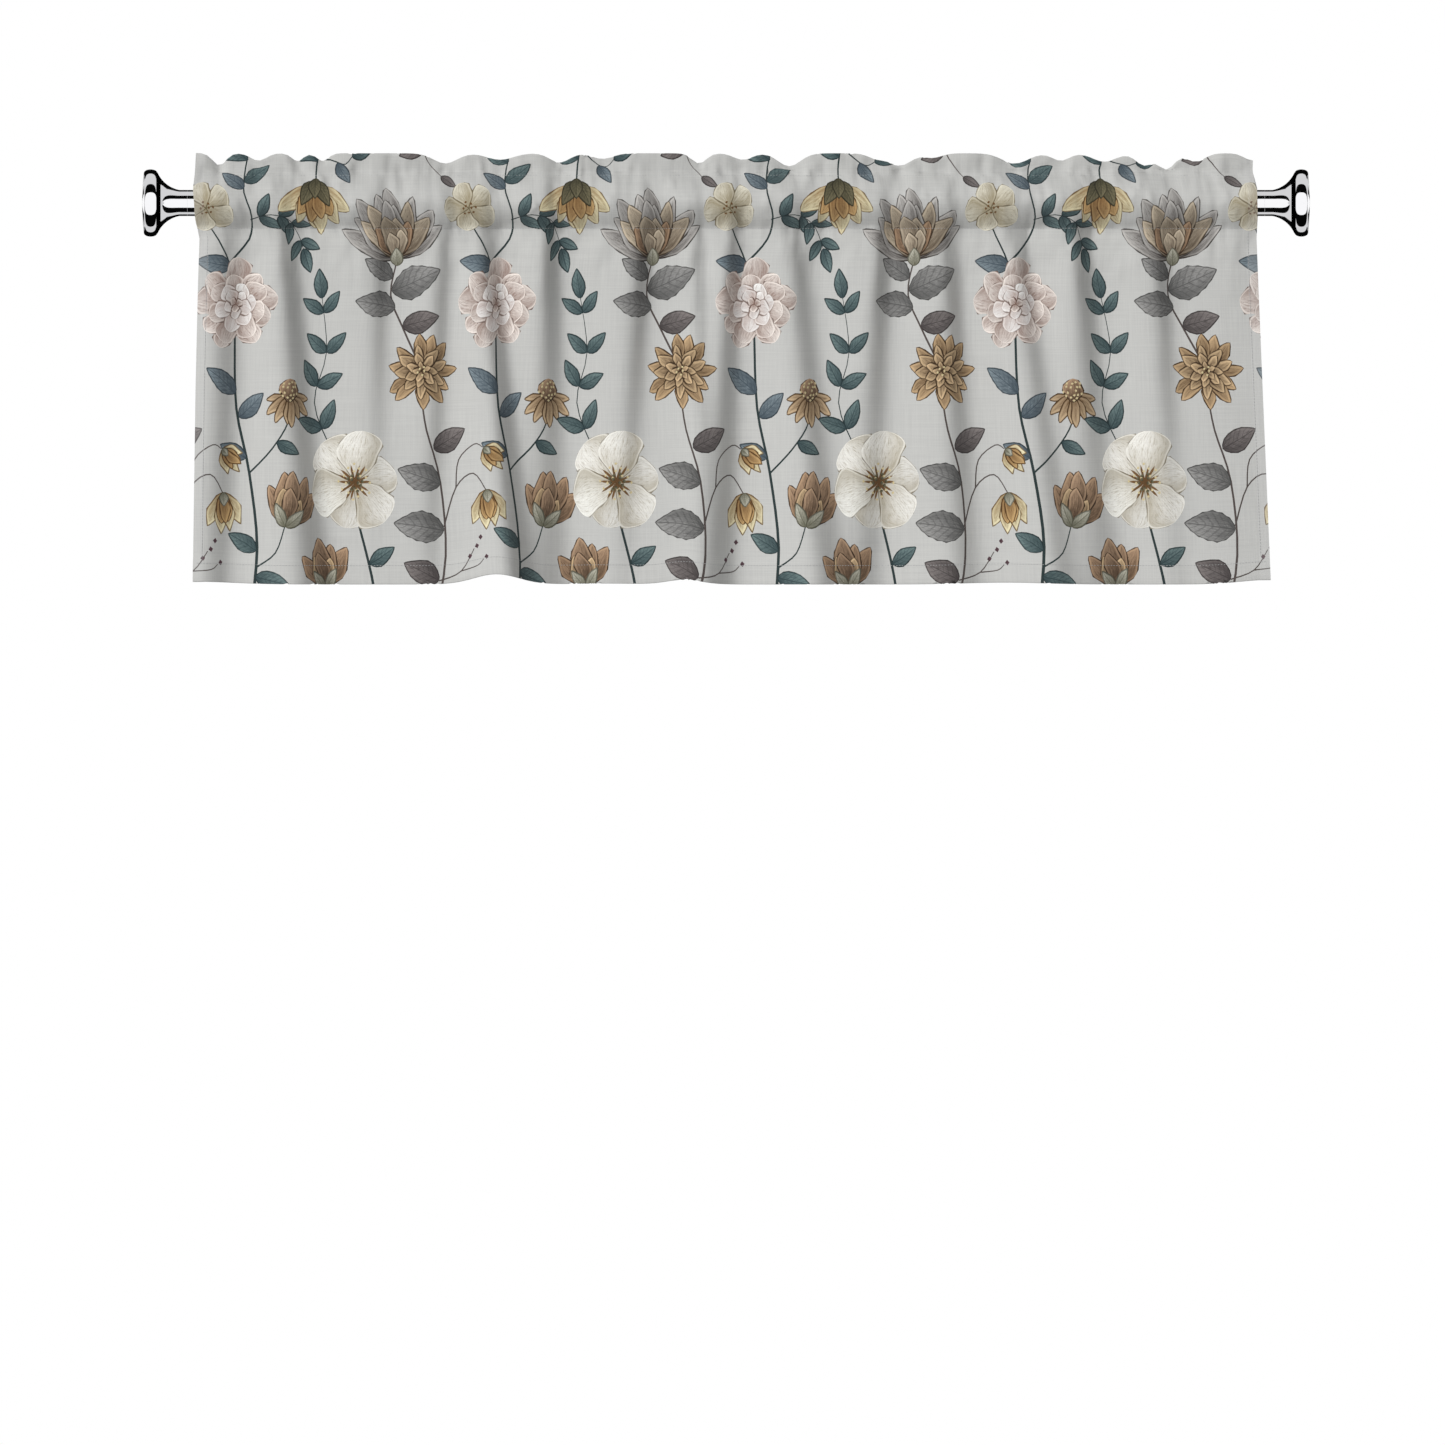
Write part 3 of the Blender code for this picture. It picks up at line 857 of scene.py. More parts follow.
UPPER_STEMS = (
    Stem([(240, 300), (226, 346), (206, 384), (204, 408)], 2.0, 1.4, STEM_GREEN),
    Stem([(226, 346), (250, 372), (258, 400), (250, 440), (262, 520)], 2.4, 1.4, STEM_GREEN),
    Stem([(34, 520), (22, 474), (20, 434)], 2.4, 1.6, STEM_GREEN),
    Stem([(24, 480), (52, 462), (64, 470)], 1.5, 0.9, STEM_GREEN),
    Stem([(140, 520), (150, 478), (172, 448)], 1.5, 0.9, TWIG_BROWN),
)

# Single leaves
Leaf = namedtuple("Leaf", "x y turn length width finish teeth bend")
LOWER_LEAVES = (
    Leaf(168, 108, 158, 52, 0.30, GREY_LEAF, 0.08, 0.06),
    Leaf(171, 58, 168, 58, 0.30, GREY_LEAF, 0.08, 0.06),
    Leaf(164, 4, 150, 44, 0.30, MOLE_LEAF, 0.0, 0.06),
    Leaf(160, 146, 26, 44, 0.28, MOLE_LEAF, 0.0, 0.06),
    Leaf(252, 136, 152, 36, 0.25, BLUE_LEAF, 0.0, 0.06),
    Leaf(243, 180, 38, 40, 0.25, BLUE_LEAF, 0.0, 0.06),
    Leaf(239, 206, 140, 46, 0.24, BLUE_LEAF, 0.05, 0.06),
    Leaf(265, 36, 148, 38, 0.26, TEAL_LEAF, 0.0, 0.06),
    Leaf(264, 8, 346, 40, 0.26, TEAL_LEAF, 0.0, 0.06),
    Leaf(290, 154, 330, 30, 0.24, TEAL_LEAF, 0.0, 0.06),
    Leaf(86, 22, 30, 34, 0.26, TEAL_LEAF, 0.0, 0.06),
)
UPPER_LEAVES = (
    Leaf(121, 278, 12, 44, 0.28, MOLE_LEAF, 0.0, 0.05),
    Leaf(112, 298, 168, 48, 0.30, GREY_LEAF, 0.08, 0.05),
    Leaf(107, 316, 20, 60, 0.29, GREY_LEAF, 0.08, 0.05),
    Leaf(107, 330, 146, 40, 0.28, GREY_LEAF, 0.08, 0.05),
    Leaf(228, 342, 168, 42, 0.25, BLUE_LEAF, 0.0, 0.05),
    Leaf(251, 432, 140, 34, 0.25, BLUE_LEAF, 0.0, 0.05),
    Leaf(251, 440, 34, 38, 0.25, TEAL_LEAF, 0.0, 0.05),
    Leaf(255, 470, 160, 34, 0.25, TEAL_LEAF, 0.0, 0.05),
    Leaf(22, 470, 150, 36, 0.25, TEAL_LEAF, 0.0, 0.05),
    Leaf(46, 464, 300, 30, 0.25, BLUE_LEAF, 0.0, 0.05),
    Leaf(64, 470, 20, 30, 0.25, TEAL_LEAF, 0.0, 0.05),
    Leaf(150, 478, 190, 30, 0.25, MOLE_LEAF, 0.0, 0.05),
    Leaf(172, 448, 320, 24, 0.25, MOLE_LEAF, 0.0, 0.05),
)
HANGING_SEPALS = (
    Leaf(20, 442, 232, 34, 0.26, OLIVE_SEPAL, 0.0, 0.10),
    Leaf(20, 442, 304, 34, 0.26, OLIVE_SEPAL, 0.0, -0.10),
    Leaf(20, 446, 268, 26, 0.30, OLIVE_SEPAL, 0.0, 0.0),
)

# Feet of the small blooms: place, the way they grow, and size
BELL_FEET = ((225, 99, 274, 46), (222, 146, 318, 34))
GOBLET_FEET = ((34, -4, 96, 56), (300, 62, 76, 62))
BERRY_PLACES = ((207, 36), (219, 22), (198, 26), (212, 46))


def lower_plants(rng):
    """What grows in the lower half of the cloth."""
    drawn = []
    for row in LOWER_STEMS:
        drawn += stem(*row)
    drawn += leaf_spray([(42, 146), (22, 196), (34, 250), (26, 308)], 4, 35, 0.24, TEAL_LEAF)
    drawn += [leaf(*row) for row in LOWER_LEAVES]
    # White anemone
    drawn += open_flower(70, 110, 54, 6, 18, 0.46, BROAD, WHITE_PETAL, rng, WHITE_LINES, 9, 0.05)
    drawn += open_flower(70, 110, 21, 14, 4, 0.06, SLIM, SEED_BROWN, rng, NO_LINES, 3)
    drawn += seed_dots(70, 110, 19, 20, 3.0, SEED_YELLOW, rng)
    drawn += seed_dots(70, 110, 8, 12, 4.2, OLIVE_SEPAL, rng)
    # Tan dahlia
    drawn += ringed_flower(146, 228, DAHLIA, rng)
    drawn += seed_dots(146, 230, 4, 5, 2.6, SEED_YELLOW, rng)
    for x, y, turn, size in BELL_FEET:
        drawn += fanned_bloom(x, y, turn, BELL, rng, size)
        drawn.append(leaf(x, y, turn, 0.34 * size, 0.40, SAGE_SEPAL))
    # Cone flower with hanging petals
    drawn += fanned_bloom(304, 204, 270, CONE_FLOWER, rng)
    drawn.append(petal(304, 196, 90, 26, 0.46, ROUND, BROWN_PETAL))
    drawn += seed_dots(304, 209, 10, 18, 2.8, SEED_YELLOW, rng)
    for x, y, turn, size in GOBLET_FEET:
        drawn += fanned_bloom(x, y, turn, GOBLET, rng, size)
        for side in (1, -1):
            drawn.append(leaf(x, y, turn + side * 44, 0.46 * size, 0.24, SAGE_SEPAL,
                              bend=-0.12 * side))
    for x, y in BERRY_PLACES:
        drawn += seed_dots(x, y, 0.1, 1, 5.4, BERRY, rng)
    return drawn


def upper_plants(rng):
    """What grows in the upper half of the cloth and over the heading."""
    drawn = []
    for row in UPPER_STEMS:
        drawn += stem(*row)
    drawn += leaf_spray([(256, 396), (282, 402), (304, 392), (318, 362)], 4, 30, 0.24, TEAL_LEAF)
    drawn += [leaf(*row) for row in UPPER_LEAVES]
    # Blush rosette
    drawn += ringed_flower(236, 300, ROSETTE, rng)
    # Dusty lotus
    drawn += fanned_bloom(112, 350, 96, LOTUS, rng)
    drawn.append(leaf(112, 343, 94, 20, 0.38, SAGE_SEPAL))
    # Small cream flower
    drawn += open_flower(204, 410, 32, 5, 40, 0.46, BROAD, CREAM_PETAL, rng, WHITE_LINES, 8, 0.05)
    drawn += seed_dots(204, 410, 7, 9, 3.0, SEED_BROWN, rng)
    # Hanging yellow bloom in olive sepals
    drawn += fanned_bloom(20, 436, 268, HANGING_BLOOM, rng)
    drawn += [leaf(*row) for row in HANGING_SEPALS]
    return drawn


def one_repeat():
    """All shapes of one repeat of the print."""
    rng = random.Random(PRINT_SEED)
    return lower_plants(rng) + upper_plants(rng)


def shifted(shape, along_u, along_v):
    """The same shape in another place of the cloth."""
    return shape._replace(x=shape.x + along_u, y=shape.y + along_v)


def whole_print(width, length):
    """The repeats that reach the flat cloth, lowest petal first."""
    repeat = one_repeat()
    rows = range(-1, int(length / PRINT_RISE) + 1)
    columns = range(-2, int((width - PRINT_START) / PRINT_REPEAT) + 2)
    drawn = []
    for row in rows:
        for column in columns:
            for shape in repeat:
                moved = shifted(shape, PRINT_START + column * PRINT_REPEAT,
                                HEM_FOLD / MM + row * PRINT_RISE)
                reach = moved.length * (1.0 + abs(moved.bend))
                inside_u = -reach < moved.x < width + reach
                inside_v = -reach < moved.y < length + reach
                if inside_u and inside_v:
                    drawn.append(moved)
    return drawn


def split_outline(corners, folds):
    """Adds corners on the long edges of an outline, and where it crosses a tight fold."""
    split = []
    for here, after in zip(corners, corners[1:] + corners[:1]):
        pieces = int((after - here).length / LONGEST_EDGE) + 1
        shares = {step / pieces for step in range(pieces)}
        rise = after.y - here.y
        for fold in folds:
            if (here.y - fold) * (after.y - fold) < 0.0:
                shares.add((fold - here.y) / rise)
        split += [here.lerp(after, share) for share in sorted(shares)]
    return split


def cut_flat_cloth(shapes, width, length, rows, folds):
    """Triangles of the flat cloth, each with the number of the topmost shape on it."""
    points = [Vector(corner) for corner in ((0, 0), (width, 0), (width, length), (0, length))]
    outlines = [[0, 1, 2, 3]]
    for shape in shapes:
        corners = split_outline(petal_outline(shape), folds)
        outlines.append(list(range(len(points), len(points) + len(corners))))
        points += corners
    for row in rows:
        for column in range(COLUMNS + 1):
            points.append(Vector((width * column / COLUMNS, row)))
    places, _, faces, _, _, covers = delaunay_2d_cdt(points, [], outlines, 0, CUT_TOLERANCE,
                                                     True)
    kept = [(face, max(cover)) for face, cover in zip(faces, covers) if 0 in cover]
    triangles = np.array([face for face, _ in kept])
    tops = np.array([top for _, top in kept])
    used, triangles = np.unique(triangles, return_inverse=True)
    flat = np.array([places[index][:] for index in used])
    return flat, triangles.reshape(-1, 3), tops


def petal_attributes(shapes, flat, triangles, tops):
    """What the material draws with, a row for each corner of each triangle."""
    ground = petal(0, 0, 0, LENGTH_SCALE, 1.0, STRAIGHT, Finish(GROUND, GROUND, 1.0, 0.0),
                   NO_LINES)

    def of_shapes(read):
        values = np.array([read(shape) for shape in [ground] + list(shapes)], dtype=float)
        return np.repeat(values[tops], 3, axis=0)

    foot = of_shapes(lambda shape: (shape.x, shape.y))
    x, y = (flat[triangles.reshape(-1)] - foot).T
    cosine = of_shapes(lambda shape: math.cos(shape.turn))
    sine = of_shapes(lambda shape: math.sin(shape.turn))
    length = of_shapes(lambda shape: shape.length)
    along = (x * cosine + y * sine) / length
    side = (y * cosine - x * sine) / length - of_shapes(lambda shape: shape.bend) * along ** 2
    on_ground = np.repeat(tops == 0, 3)
    along[on_ground] = 0.5
    side[on_ground] = 0.0
    return {
        "print_place": np.column_stack([along, side, of_shapes(lambda shape: shape.width)]),
        "print_shape": of_shapes(lambda shape: (*shape.form, shape.finish.reach)),
        "print_lines": of_shapes(lambda shape: shape.lines),
        "print_deep": of_shapes(lambda shape: (*shape.finish.deep, shape.length / LENGTH_SCALE)),
        "print_pale": of_shapes(lambda shape: (*shape.finish.pale, shape.finish.late)),
    }


def border_edges(triangles):
    """The edges that only one triangle has, in that triangle's direction."""
    edges = np.concatenate([triangles[:, (0, 1)], triangles[:, (1, 2)], triangles[:, (2, 0)]])
    keys = np.sort(edges, axis=1)
    _, first, counts = np.unique(keys, axis=0, return_index=True, return_counts=True)
    return edges[first[counts == 1]]


def hem_raise(u):
    """The side hems are a little thicker than the single cloth."""
    from_side = np.minimum(u, FLAT_WIDTH - u)
    return SIDE_HEM_RAISE * (1.0 - smooth_step((from_side - SIDE_HEM) / SIDE_HEM_STEP))


def both_faces(values, rim_values):
    """Values at the corners of the cloth's front, then of its back and of its rim."""
    behind = values.reshape(-1, 3, values.shape[1])[:, ::-1].reshape(values.shape)
    return np.concatenate([values, behind, rim_values])


def add_print(mesh, attributes, ground_corner, rim_corners):
    """Stores the petals' attributes. The rim of the cloth takes the ground's."""
    for name, values in attributes.items():
        rim_values = np.tile(values[ground_corner], (rim_corners, 1))
        kind, field = (("FLOAT_COLOR", "color") if values.shape[1] == 4
                       else ("FLOAT_VECTOR", "vector"))
        attribute = mesh.attributes.new(name, kind, "CORNER")
        attribute.data.foreach_set(field, both_faces(values, rim_values).ravel())


def add_maps(mesh, flat_corners, front_corners):
    """A map of the flat cloth in metres, and one with its front below and its back above."""
    flat_map = mesh.uv_layers.new(name="FlatCloth")
    flat_map.data.foreach_set("uv", (flat_corners * MM).ravel())
    sizes = (FLAT_WIDTH / MM, FLAT_LENGTH / MM)
    bake = BAKE_MARGIN + flat_corners * BAKE_SPREAD / sizes
    bake[front_corners:, 1] += 0.5
    bake_map = mesh.uv_layers.new(name="OFBake")
    bake_map.data.foreach_set("uv", bake.ravel())


def make_cloth():
    """The valance: both faces of the cloth, joined round its rim."""
    width, length = FLAT_WIDTH / MM, FLAT_LENGTH / MM
    shapes = whole_print(width, length)
    rows = flat_rows()
    flat, triangles, tops = cut_flat_cloth(shapes, width, length, rows, tight_rows(rows))
    u, v = flat.T * MM
    places, normals = hang_with_normals(u, v)
    half = (0.5 * CLOTH_THICKNESS + hem_raise(u))[:, None]
    vertices = np.concatenate([places + normals * half, places - normals * half])
    count = len(places)
    first, second = border_edges(triangles).T
    rim = np.column_stack([second, first, first + count, second + count])
    back = triangles[:, ::-1] + count
    mesh = bpy.data.meshes.new("valance_cloth")
    mesh.from_pydata(vertices.tolist(), [], triangles.tolist() + back.tolist() + rim.tolist())

    front = triangles.reshape(-1)
    add_print(mesh, petal_attributes(shapes, flat, triangles, tops),
              3 * np.argmax(tops == 0), rim.size)
    add_maps(mesh, both_faces(flat[front], flat[rim.reshape(-1) % count]), len(front))
    slots = np.zeros(len(mesh.polygons), dtype=np.int32)
    slots[len(triangles):2 * len(triangles)] = 1
    mesh.materials.append(printed_cloth_material("printed_cloth_face", 0.0))
    mesh.materials.append(printed_cloth_material("printed_cloth_reverse", REVERSE_FADE))
    mesh.polygons.foreach_set("material_index", slots)
    mesh.shade_smooth()

    rim_sides = vertices[rim[:, 1]] - vertices[rim[:, 0]]
    rim_depth = vertices[rim[:, 3]] - vertices[rim[:, 0]]
    rim_normals = np.repeat(unit(np.cross(rim_sides, rim_depth)), 4, axis=0)
    corner_normals = both_faces(normals[front], rim_normals)
    corner_normals[len(front):2 * len(front)] *= -1.0
    mesh.normals_split_custom_set(corner_normals.tolist())
    cloth = bpy.data.objects.new("valance_cloth", mesh)
    cloth.visible_glossy = False
    bpy.context.scene.collection.objects.link(cloth)
    return cloth


# Materials
class NodeBench:
    """Short words for laying out the nodes of a material."""

    def __init__(self, tree):
        self.tree = tree

    def add(self, kind, **settings):
        node = self.tree.nodes.new(kind)
        for name, value in settings.items():
            setattr(node, name, value)
        return node

    def give(self, socket, value):
        """Links a socket to another one, or gives it a number or a colour."""
        if isinstance(value, (int, float)):
            socket.default_value = value
        elif isinstance(value, tuple):
            socket.default_value = (*value, 1.0)
        else:
            self.tree.links.new(value, socket)

    def maths(self, operation, first, second=0.0, clamp=False):
        node = self.add("ShaderNodeMath", operation=operation, use_clamp=clamp)
        self.give(node.inputs[0], first)
        self.give(node.inputs[1], second)
        return node.outputs[0]

    def times(self, *factors, clamp=False):
        product = factors[0]
        for factor in factors[1:-1]:
            product = self.maths("MULTIPLY", product, factor)
        return self.maths("MULTIPLY", product, factors[-1], clamp)

    def plus(self, first, second):
        return self.maths("ADD", first, second)

    def minus(self, first, second):
        return self.maths("SUBTRACT", first, second)

    def blend(self, first, second, share, mode="MIX"):
        node = self.add("ShaderNodeMix", data_type="RGBA", blend_type=mode)
        self.give(node.inputs[0], share)
        self.give(node.inputs[6], first)
        self.give(node.inputs[7], second)
        return node.outputs[2]

    def tinted(self, colour, tint):
        return self.blend(colour, tint, 1.0, "MULTIPLY")

    def ramp(self, value, low, high):
        """Rises smoothly from 0 at low to 1 at high. Low may be the larger one."""
        node = self.add("ShaderNodeMapRange", interpolation_type="SMOOTHSTEP")
        for socket, level in zip(node.inputs, (value, low, high)):
            self.give(socket, level)
        return node.outputs[0]

    def noise(self, place, scale, detail=2.0, roughness=0.5):
        node = self.add("ShaderNodeTexNoise")
        self.give(node.inputs["Vector"], place)
        self.give(node.inputs["Scale"], scale)
        self.give(node.inputs["Detail"], detail)
        self.give(node.inputs["Roughness"], roughness)
        return node.outputs["Fac"]

    def stretched(self, place, scale):
        node = self.add("ShaderNodeMapping")
        self.give(node.inputs["Vector"], place)
        node.inputs["Scale"].default_value = scale
        return node.outputs["Vector"]

    def parts(self, vector):
        node = self.add("ShaderNodeSeparateXYZ")
        self.give(node.inputs[0], vector)
        return node.outputs[0], node.outputs[1], node.outputs[2]

    def join(self, x, y, z):
        node = self.add("ShaderNodeCombineXYZ")
        for socket, value in zip(node.inputs, (x, y, z)):
            self.give(socket, value)
        return node.outputs[0]

    def attribute(self, name):
        return self.add("ShaderNodeAttribute", attribute_name=name)

    def attribute_parts(self, name):
        return self.parts(self.attribute(name).outputs["Vector"])

    def bump(self, height, strength, distance, before=None):
        node = self.add("ShaderNodeBump")
        if before:
            self.give(node.inputs["Normal"], before)
        self.give(node.inputs["Height"], height)
        self.give(node.inputs["Strength"], strength)
        self.give(node.inputs["Distance"], distance)
        return node.outputs["Normal"]

    def object_place(self):
        return self.add("ShaderNodeTexCoord").outputs["Object"]


def new_material(name, **levels):
    """A material with its bench and its shader's inputs, the named ones set."""
    material = bpy.data.materials.new(name)
    material.use_nodes = True
    inputs = material.node_tree.nodes["Principled BSDF"].inputs
    for title, level in levels.items():
        inputs[title.replace("_", " ")].default_value = level
    return material, NodeBench(material.node_tree), inputs


# How a petal is painted. Distances from its edge and its middle line are in millimetres,
# and the pairs of numbers are where a tone starts and where it is full.
ALONG_START = 0.001
ALONG_END = 0.999
NARROWEST = 0.0001
THINNEST_HALF = 0.001
GRAIN_SCALE = 900.0
WOBBLE_SCALE = 260.0
BRUSH_ALONG = 0.13
BRUSH_ACROSS = 0.85
BRUSH_SHIFT = 3.7
BRUSH_ROUGHNESS = 0.62
BRUSH_GAIN = 8.0
LATE_GAIN = 100.0
DARK_STROKES = (0.50, 0.30)
DARK_STROKE_LEVEL = 0.62
LIGHT_STROKES = (0.50, 0.70)
LIGHT_STROKE_LEVEL = 0.42
LIGHTER = (1.16, 1.16, 1.15)
VEIN_TURNS = 44.0
VEIN_SLANT = 11.0
VEIN_WOBBLE = 3.0
VEINS = (0.45, 1.0)
VEIN_LEVEL = 0.55
MIDRIB = (0.75, 0.2)
SHADED_SIDE = (0.25, -0.95)
SHADED_LEVEL = 0.58
RIM_LIGHT_OUTSIDE = (1.2, 2.0)
RIM_LIGHT_INSIDE = (4.6, 2.4)
RIM_LIGHT_LEVEL = 1.9
OUTLINE = (1.9, 0.85)
OUTLINE_WOBBLE = 0.5
OUTLINE_TINT = (0.42, 0.40, 0.38)
GRAIN = (0.30, 0.70)
GRAIN_TINT = (0.80, 0.80, 0.80)
GRAIN_LEVEL = 0.42


def drawn_print(bench, flat_place):
    """The colour of the print, drawn from the petals' attributes."""
    along, side, width = bench.attribute_parts("print_place")
    belly, roundness, reach = bench.attribute_parts("print_shape")
    streaks, veins, outline = bench.attribute_parts("print_lines")
    deep_part, pale_part = bench.attribute("print_deep"), bench.attribute("print_pale")
    deep, pale = deep_part.outputs["Color"], pale_part.outputs["Color"]
    late = pale_part.outputs["Alpha"]
    length = bench.times(deep_part.outputs["Alpha"], LENGTH_SCALE)

    # The place on the petal: share of the half breadth and distance from the edge
    along = bench.maths("MINIMUM", bench.maths("MAXIMUM", along, ALONG_START), ALONG_END)
    arch = bench.maths("SINE", bench.times(bench.maths("POWER", along, belly), math.pi))
    arch = bench.maths("MAXIMUM", arch, NARROWEST)
    even = bench.times(bench.maths("POWER", arch, roundness), width)
    wave = bench.plus(bench.times(along, WAVE_TURNS), bench.times(length, WAVE_SHIFT))
    wave = bench.plus(wave, bench.times(bench.maths("SIGN", side), WAVE_SIDE))
    uneven = bench.times(streaks, WAVE_DEPTH, bench.maths("SINE", wave))
    half = bench.times(even, bench.plus(uneven, 1.0))
    off_middle = bench.maths("ABSOLUTE", side)
    share = bench.maths("DIVIDE", side, bench.maths("MAXIMUM", half, THINNEST_HALF))
    edge = bench.times(bench.minus(half, off_middle), length)

    # From the foot's colour to the blade's
    grown = bench.maths("DIVIDE", along, reach, clamp=True)
    colour = bench.blend(deep, pale, bench.maths("POWER", grown, late))

    # Brush strokes along the petal
    wobble = bench.noise(flat_place, WOBBLE_SCALE, 1.0)
    brush_place = bench.join(bench.times(along, length, BRUSH_ALONG),
                             bench.times(share, width, length, BRUSH_ACROSS),
                             bench.times(length, BRUSH_SHIFT))
    brush = bench.noise(brush_place, 1.0, 3.0, BRUSH_ROUGHNESS)
    brushed = bench.times(streaks, BRUSH_GAIN, clamp=True)
    lighter = bench.tinted(pale, LIGHTER)
    dark_strokes = bench.times(bench.ramp(brush, *DARK_STROKES), DARK_STROKE_LEVEL, brushed)
    colour = bench.blend(colour, deep, dark_strokes)
    light_strokes = bench.times(bench.ramp(brush, *LIGHT_STROKES), LIGHT_STROKE_LEVEL, brushed)
    colour = bench.blend(colour, lighter, light_strokes)

    # Slanting veins and the middle one
    slant = bench.minus(bench.times(along, VEIN_TURNS),
                        bench.times(bench.maths("ABSOLUTE", share), VEIN_SLANT))
    slant = bench.plus(slant, bench.times(wobble, VEIN_WOBBLE))
    vein_wave = bench.times(bench.ramp(bench.maths("SINE", slant), *VEINS), VEIN_LEVEL)
    midrib = bench.ramp(bench.times(off_middle, length), *MIDRIB)
    colour = bench.blend(colour, deep,
                         bench.times(bench.maths("MAXIMUM", vein_wave, midrib), veins))

    # One side in shade, and light inside the edge
    shade = bench.times(bench.ramp(share, *SHADED_SIDE), SHADED_LEVEL, brushed)
    colour = bench.blend(colour, deep, shade)
    rim_light = bench.times(bench.ramp(edge, *RIM_LIGHT_OUTSIDE),
                            bench.ramp(edge, *RIM_LIGHT_INSIDE), RIM_LIGHT_LEVEL,
                            bench.times(streaks, along), clamp=True)
    colour = bench.blend(colour, lighter, rim_light)

    # The dark outline and the fine grain of the print
    near_edge = bench.ramp(bench.plus(edge, bench.times(wobble, OUTLINE_WOBBLE)), *OUTLINE)
    colour = bench.blend(colour, bench.tinted(deep, OUTLINE_TINT),
                         bench.times(near_edge, outline))
    grain = bench.noise(flat_place, GRAIN_SCALE, 2.0)
    on_petal = bench.times(late, LATE_GAIN, clamp=True)
    grain = bench.times(bench.ramp(grain, *GRAIN), on_petal, GRAIN_LEVEL)
    return bench.blend(colour, bench.tinted(colour, GRAIN_TINT), grain)


# The cloth under the print: how far the reverse fades, the threads' spacing, and how far
# slubs, dents and pleats are stretched across and along the cloth
REVERSE_FADE = 0.62
REVERSE_TONE = 0.96
SIDE_HEM_TINT = (0.85, 0.85, 0.85)
SIDE_HEM_LEVEL = 0.10
WEAVE_PITCH = 0.00052
WEAVE_DEPTH = 0.00012
SLUB_TINT = (0.90, 0.90, 0.905)
SLUB_TONES = (0.72, 1.28)
SLUB_ACROSS = (14.0, 900.0, 1.0)
SLUB_UP = (900.0, 18.0, 1.0)
SLUB_RELIEF = 1.5
WEAVE_LEVEL = 0.35
DENTS = (44.0, 26.0, 1.0)
PLEATS = (74.0, 9.0, 1.0)
PLEAT_LEVEL = 0.14
RUMPLE_LEAST = 0.10
RUMPLE_GAIN = 0.9
RUMPLE_DEPTH = 0.0065
RUMPLE_RANGE = (-0.110, 0.004)


def woven(bench, distance):
    """The wave of the threads that lie across one way of the cloth."""
    return bench.maths("SINE", bench.times(distance, 2.0 * math.pi / WEAVE_PITCH))


def printed_cloth_material(name, fade):
    """Printed plain weave. Fade is how far the print turns into the ground's colour."""
    material, bench, inputs = new_material(name, Roughness=0.86, Specular_IOR_Level=0.22,
                                           Sheen_Weight=0.10, Sheen_Roughness=0.5)
    uv = bench.add("ShaderNodeUVMap", uv_map="FlatCloth").outputs["UV"]
    across_cloth, up_cloth, _ = bench.parts(uv)
    colour = drawn_print(bench, uv)
    if fade:
        colour = bench.blend(colour, tuple(REVERSE_TONE * level for level in GROUND), fade)
    from_side = bench.maths("MINIMUM", across_cloth, bench.minus(FLAT_WIDTH, across_cloth))
    on_hem = bench.times(bench.ramp(from_side, SIDE_HEM, SIDE_HEM - MM), SIDE_HEM_LEVEL)
    colour = bench.blend(colour, SIDE_HEM_TINT, on_hem)

    slub_across = bench.noise(bench.stretched(uv, SLUB_ACROSS), 1.0, 3.0, 0.6)
    slub_up = bench.noise(bench.stretched(uv, SLUB_UP), 1.0, 3.0, 0.6)
    slubs = bench.plus(slub_across, slub_up)
    colour = bench.blend(bench.tinted(colour, SLUB_TINT), colour, bench.ramp(slubs, *SLUB_TONES))
    bench.give(inputs["Base Color"], colour)

    # Soft rumples that grow towards the pocket, with the weave on them
    rumpled = bench.ramp(bench.minus(up_cloth, SEAM_ALONG), *RUMPLE_RANGE)
    soft_dents = bench.noise(bench.stretched(uv, DENTS), 1.0, 0.6, 0.4)
    pleats = bench.noise(bench.stretched(uv, PLEATS), 1.0, 0.0, 0.4)
    rumples = bench.plus(soft_dents, bench.times(pleats, PLEAT_LEVEL))
    height = bench.times(rumples, bench.plus(bench.times(rumpled, RUMPLE_GAIN), RUMPLE_LEAST))
    gathers = bench.bump(height, 1.0, RUMPLE_DEPTH)
    weave = bench.plus(bench.times(woven(bench, across_cloth), woven(bench, up_cloth)),
                       bench.times(slubs, SLUB_RELIEF))
    bench.give(inputs["Normal"], bench.bump(weave, WEAVE_LEVEL, WEAVE_DEPTH, gathers))
    return material


def thread_material():
    """Grey sewing thread with a fine twist."""
    material, bench, inputs = new_material("sewing_thread", Roughness=0.6)
    tone = bench.noise(bench.object_place(), 700.0, 2.0)
    bench.give(inputs["Base Color"],
               bench.blend(paint(158, 159, 160), paint(190, 191, 191), tone))
    return material


# Chrome: its level, its wiping marks and their tones, and the span of its roughness
CHROME_LEVEL = 0.9
MARKS = (30.0, 260.0, 260.0)
MARK_DARK = (0.96, 0.96, 0.97)
MARK_LIGHT = (1.02, 1.02, 1.03)
CHROME_ROUGHNESS = (0.02, 0.06)


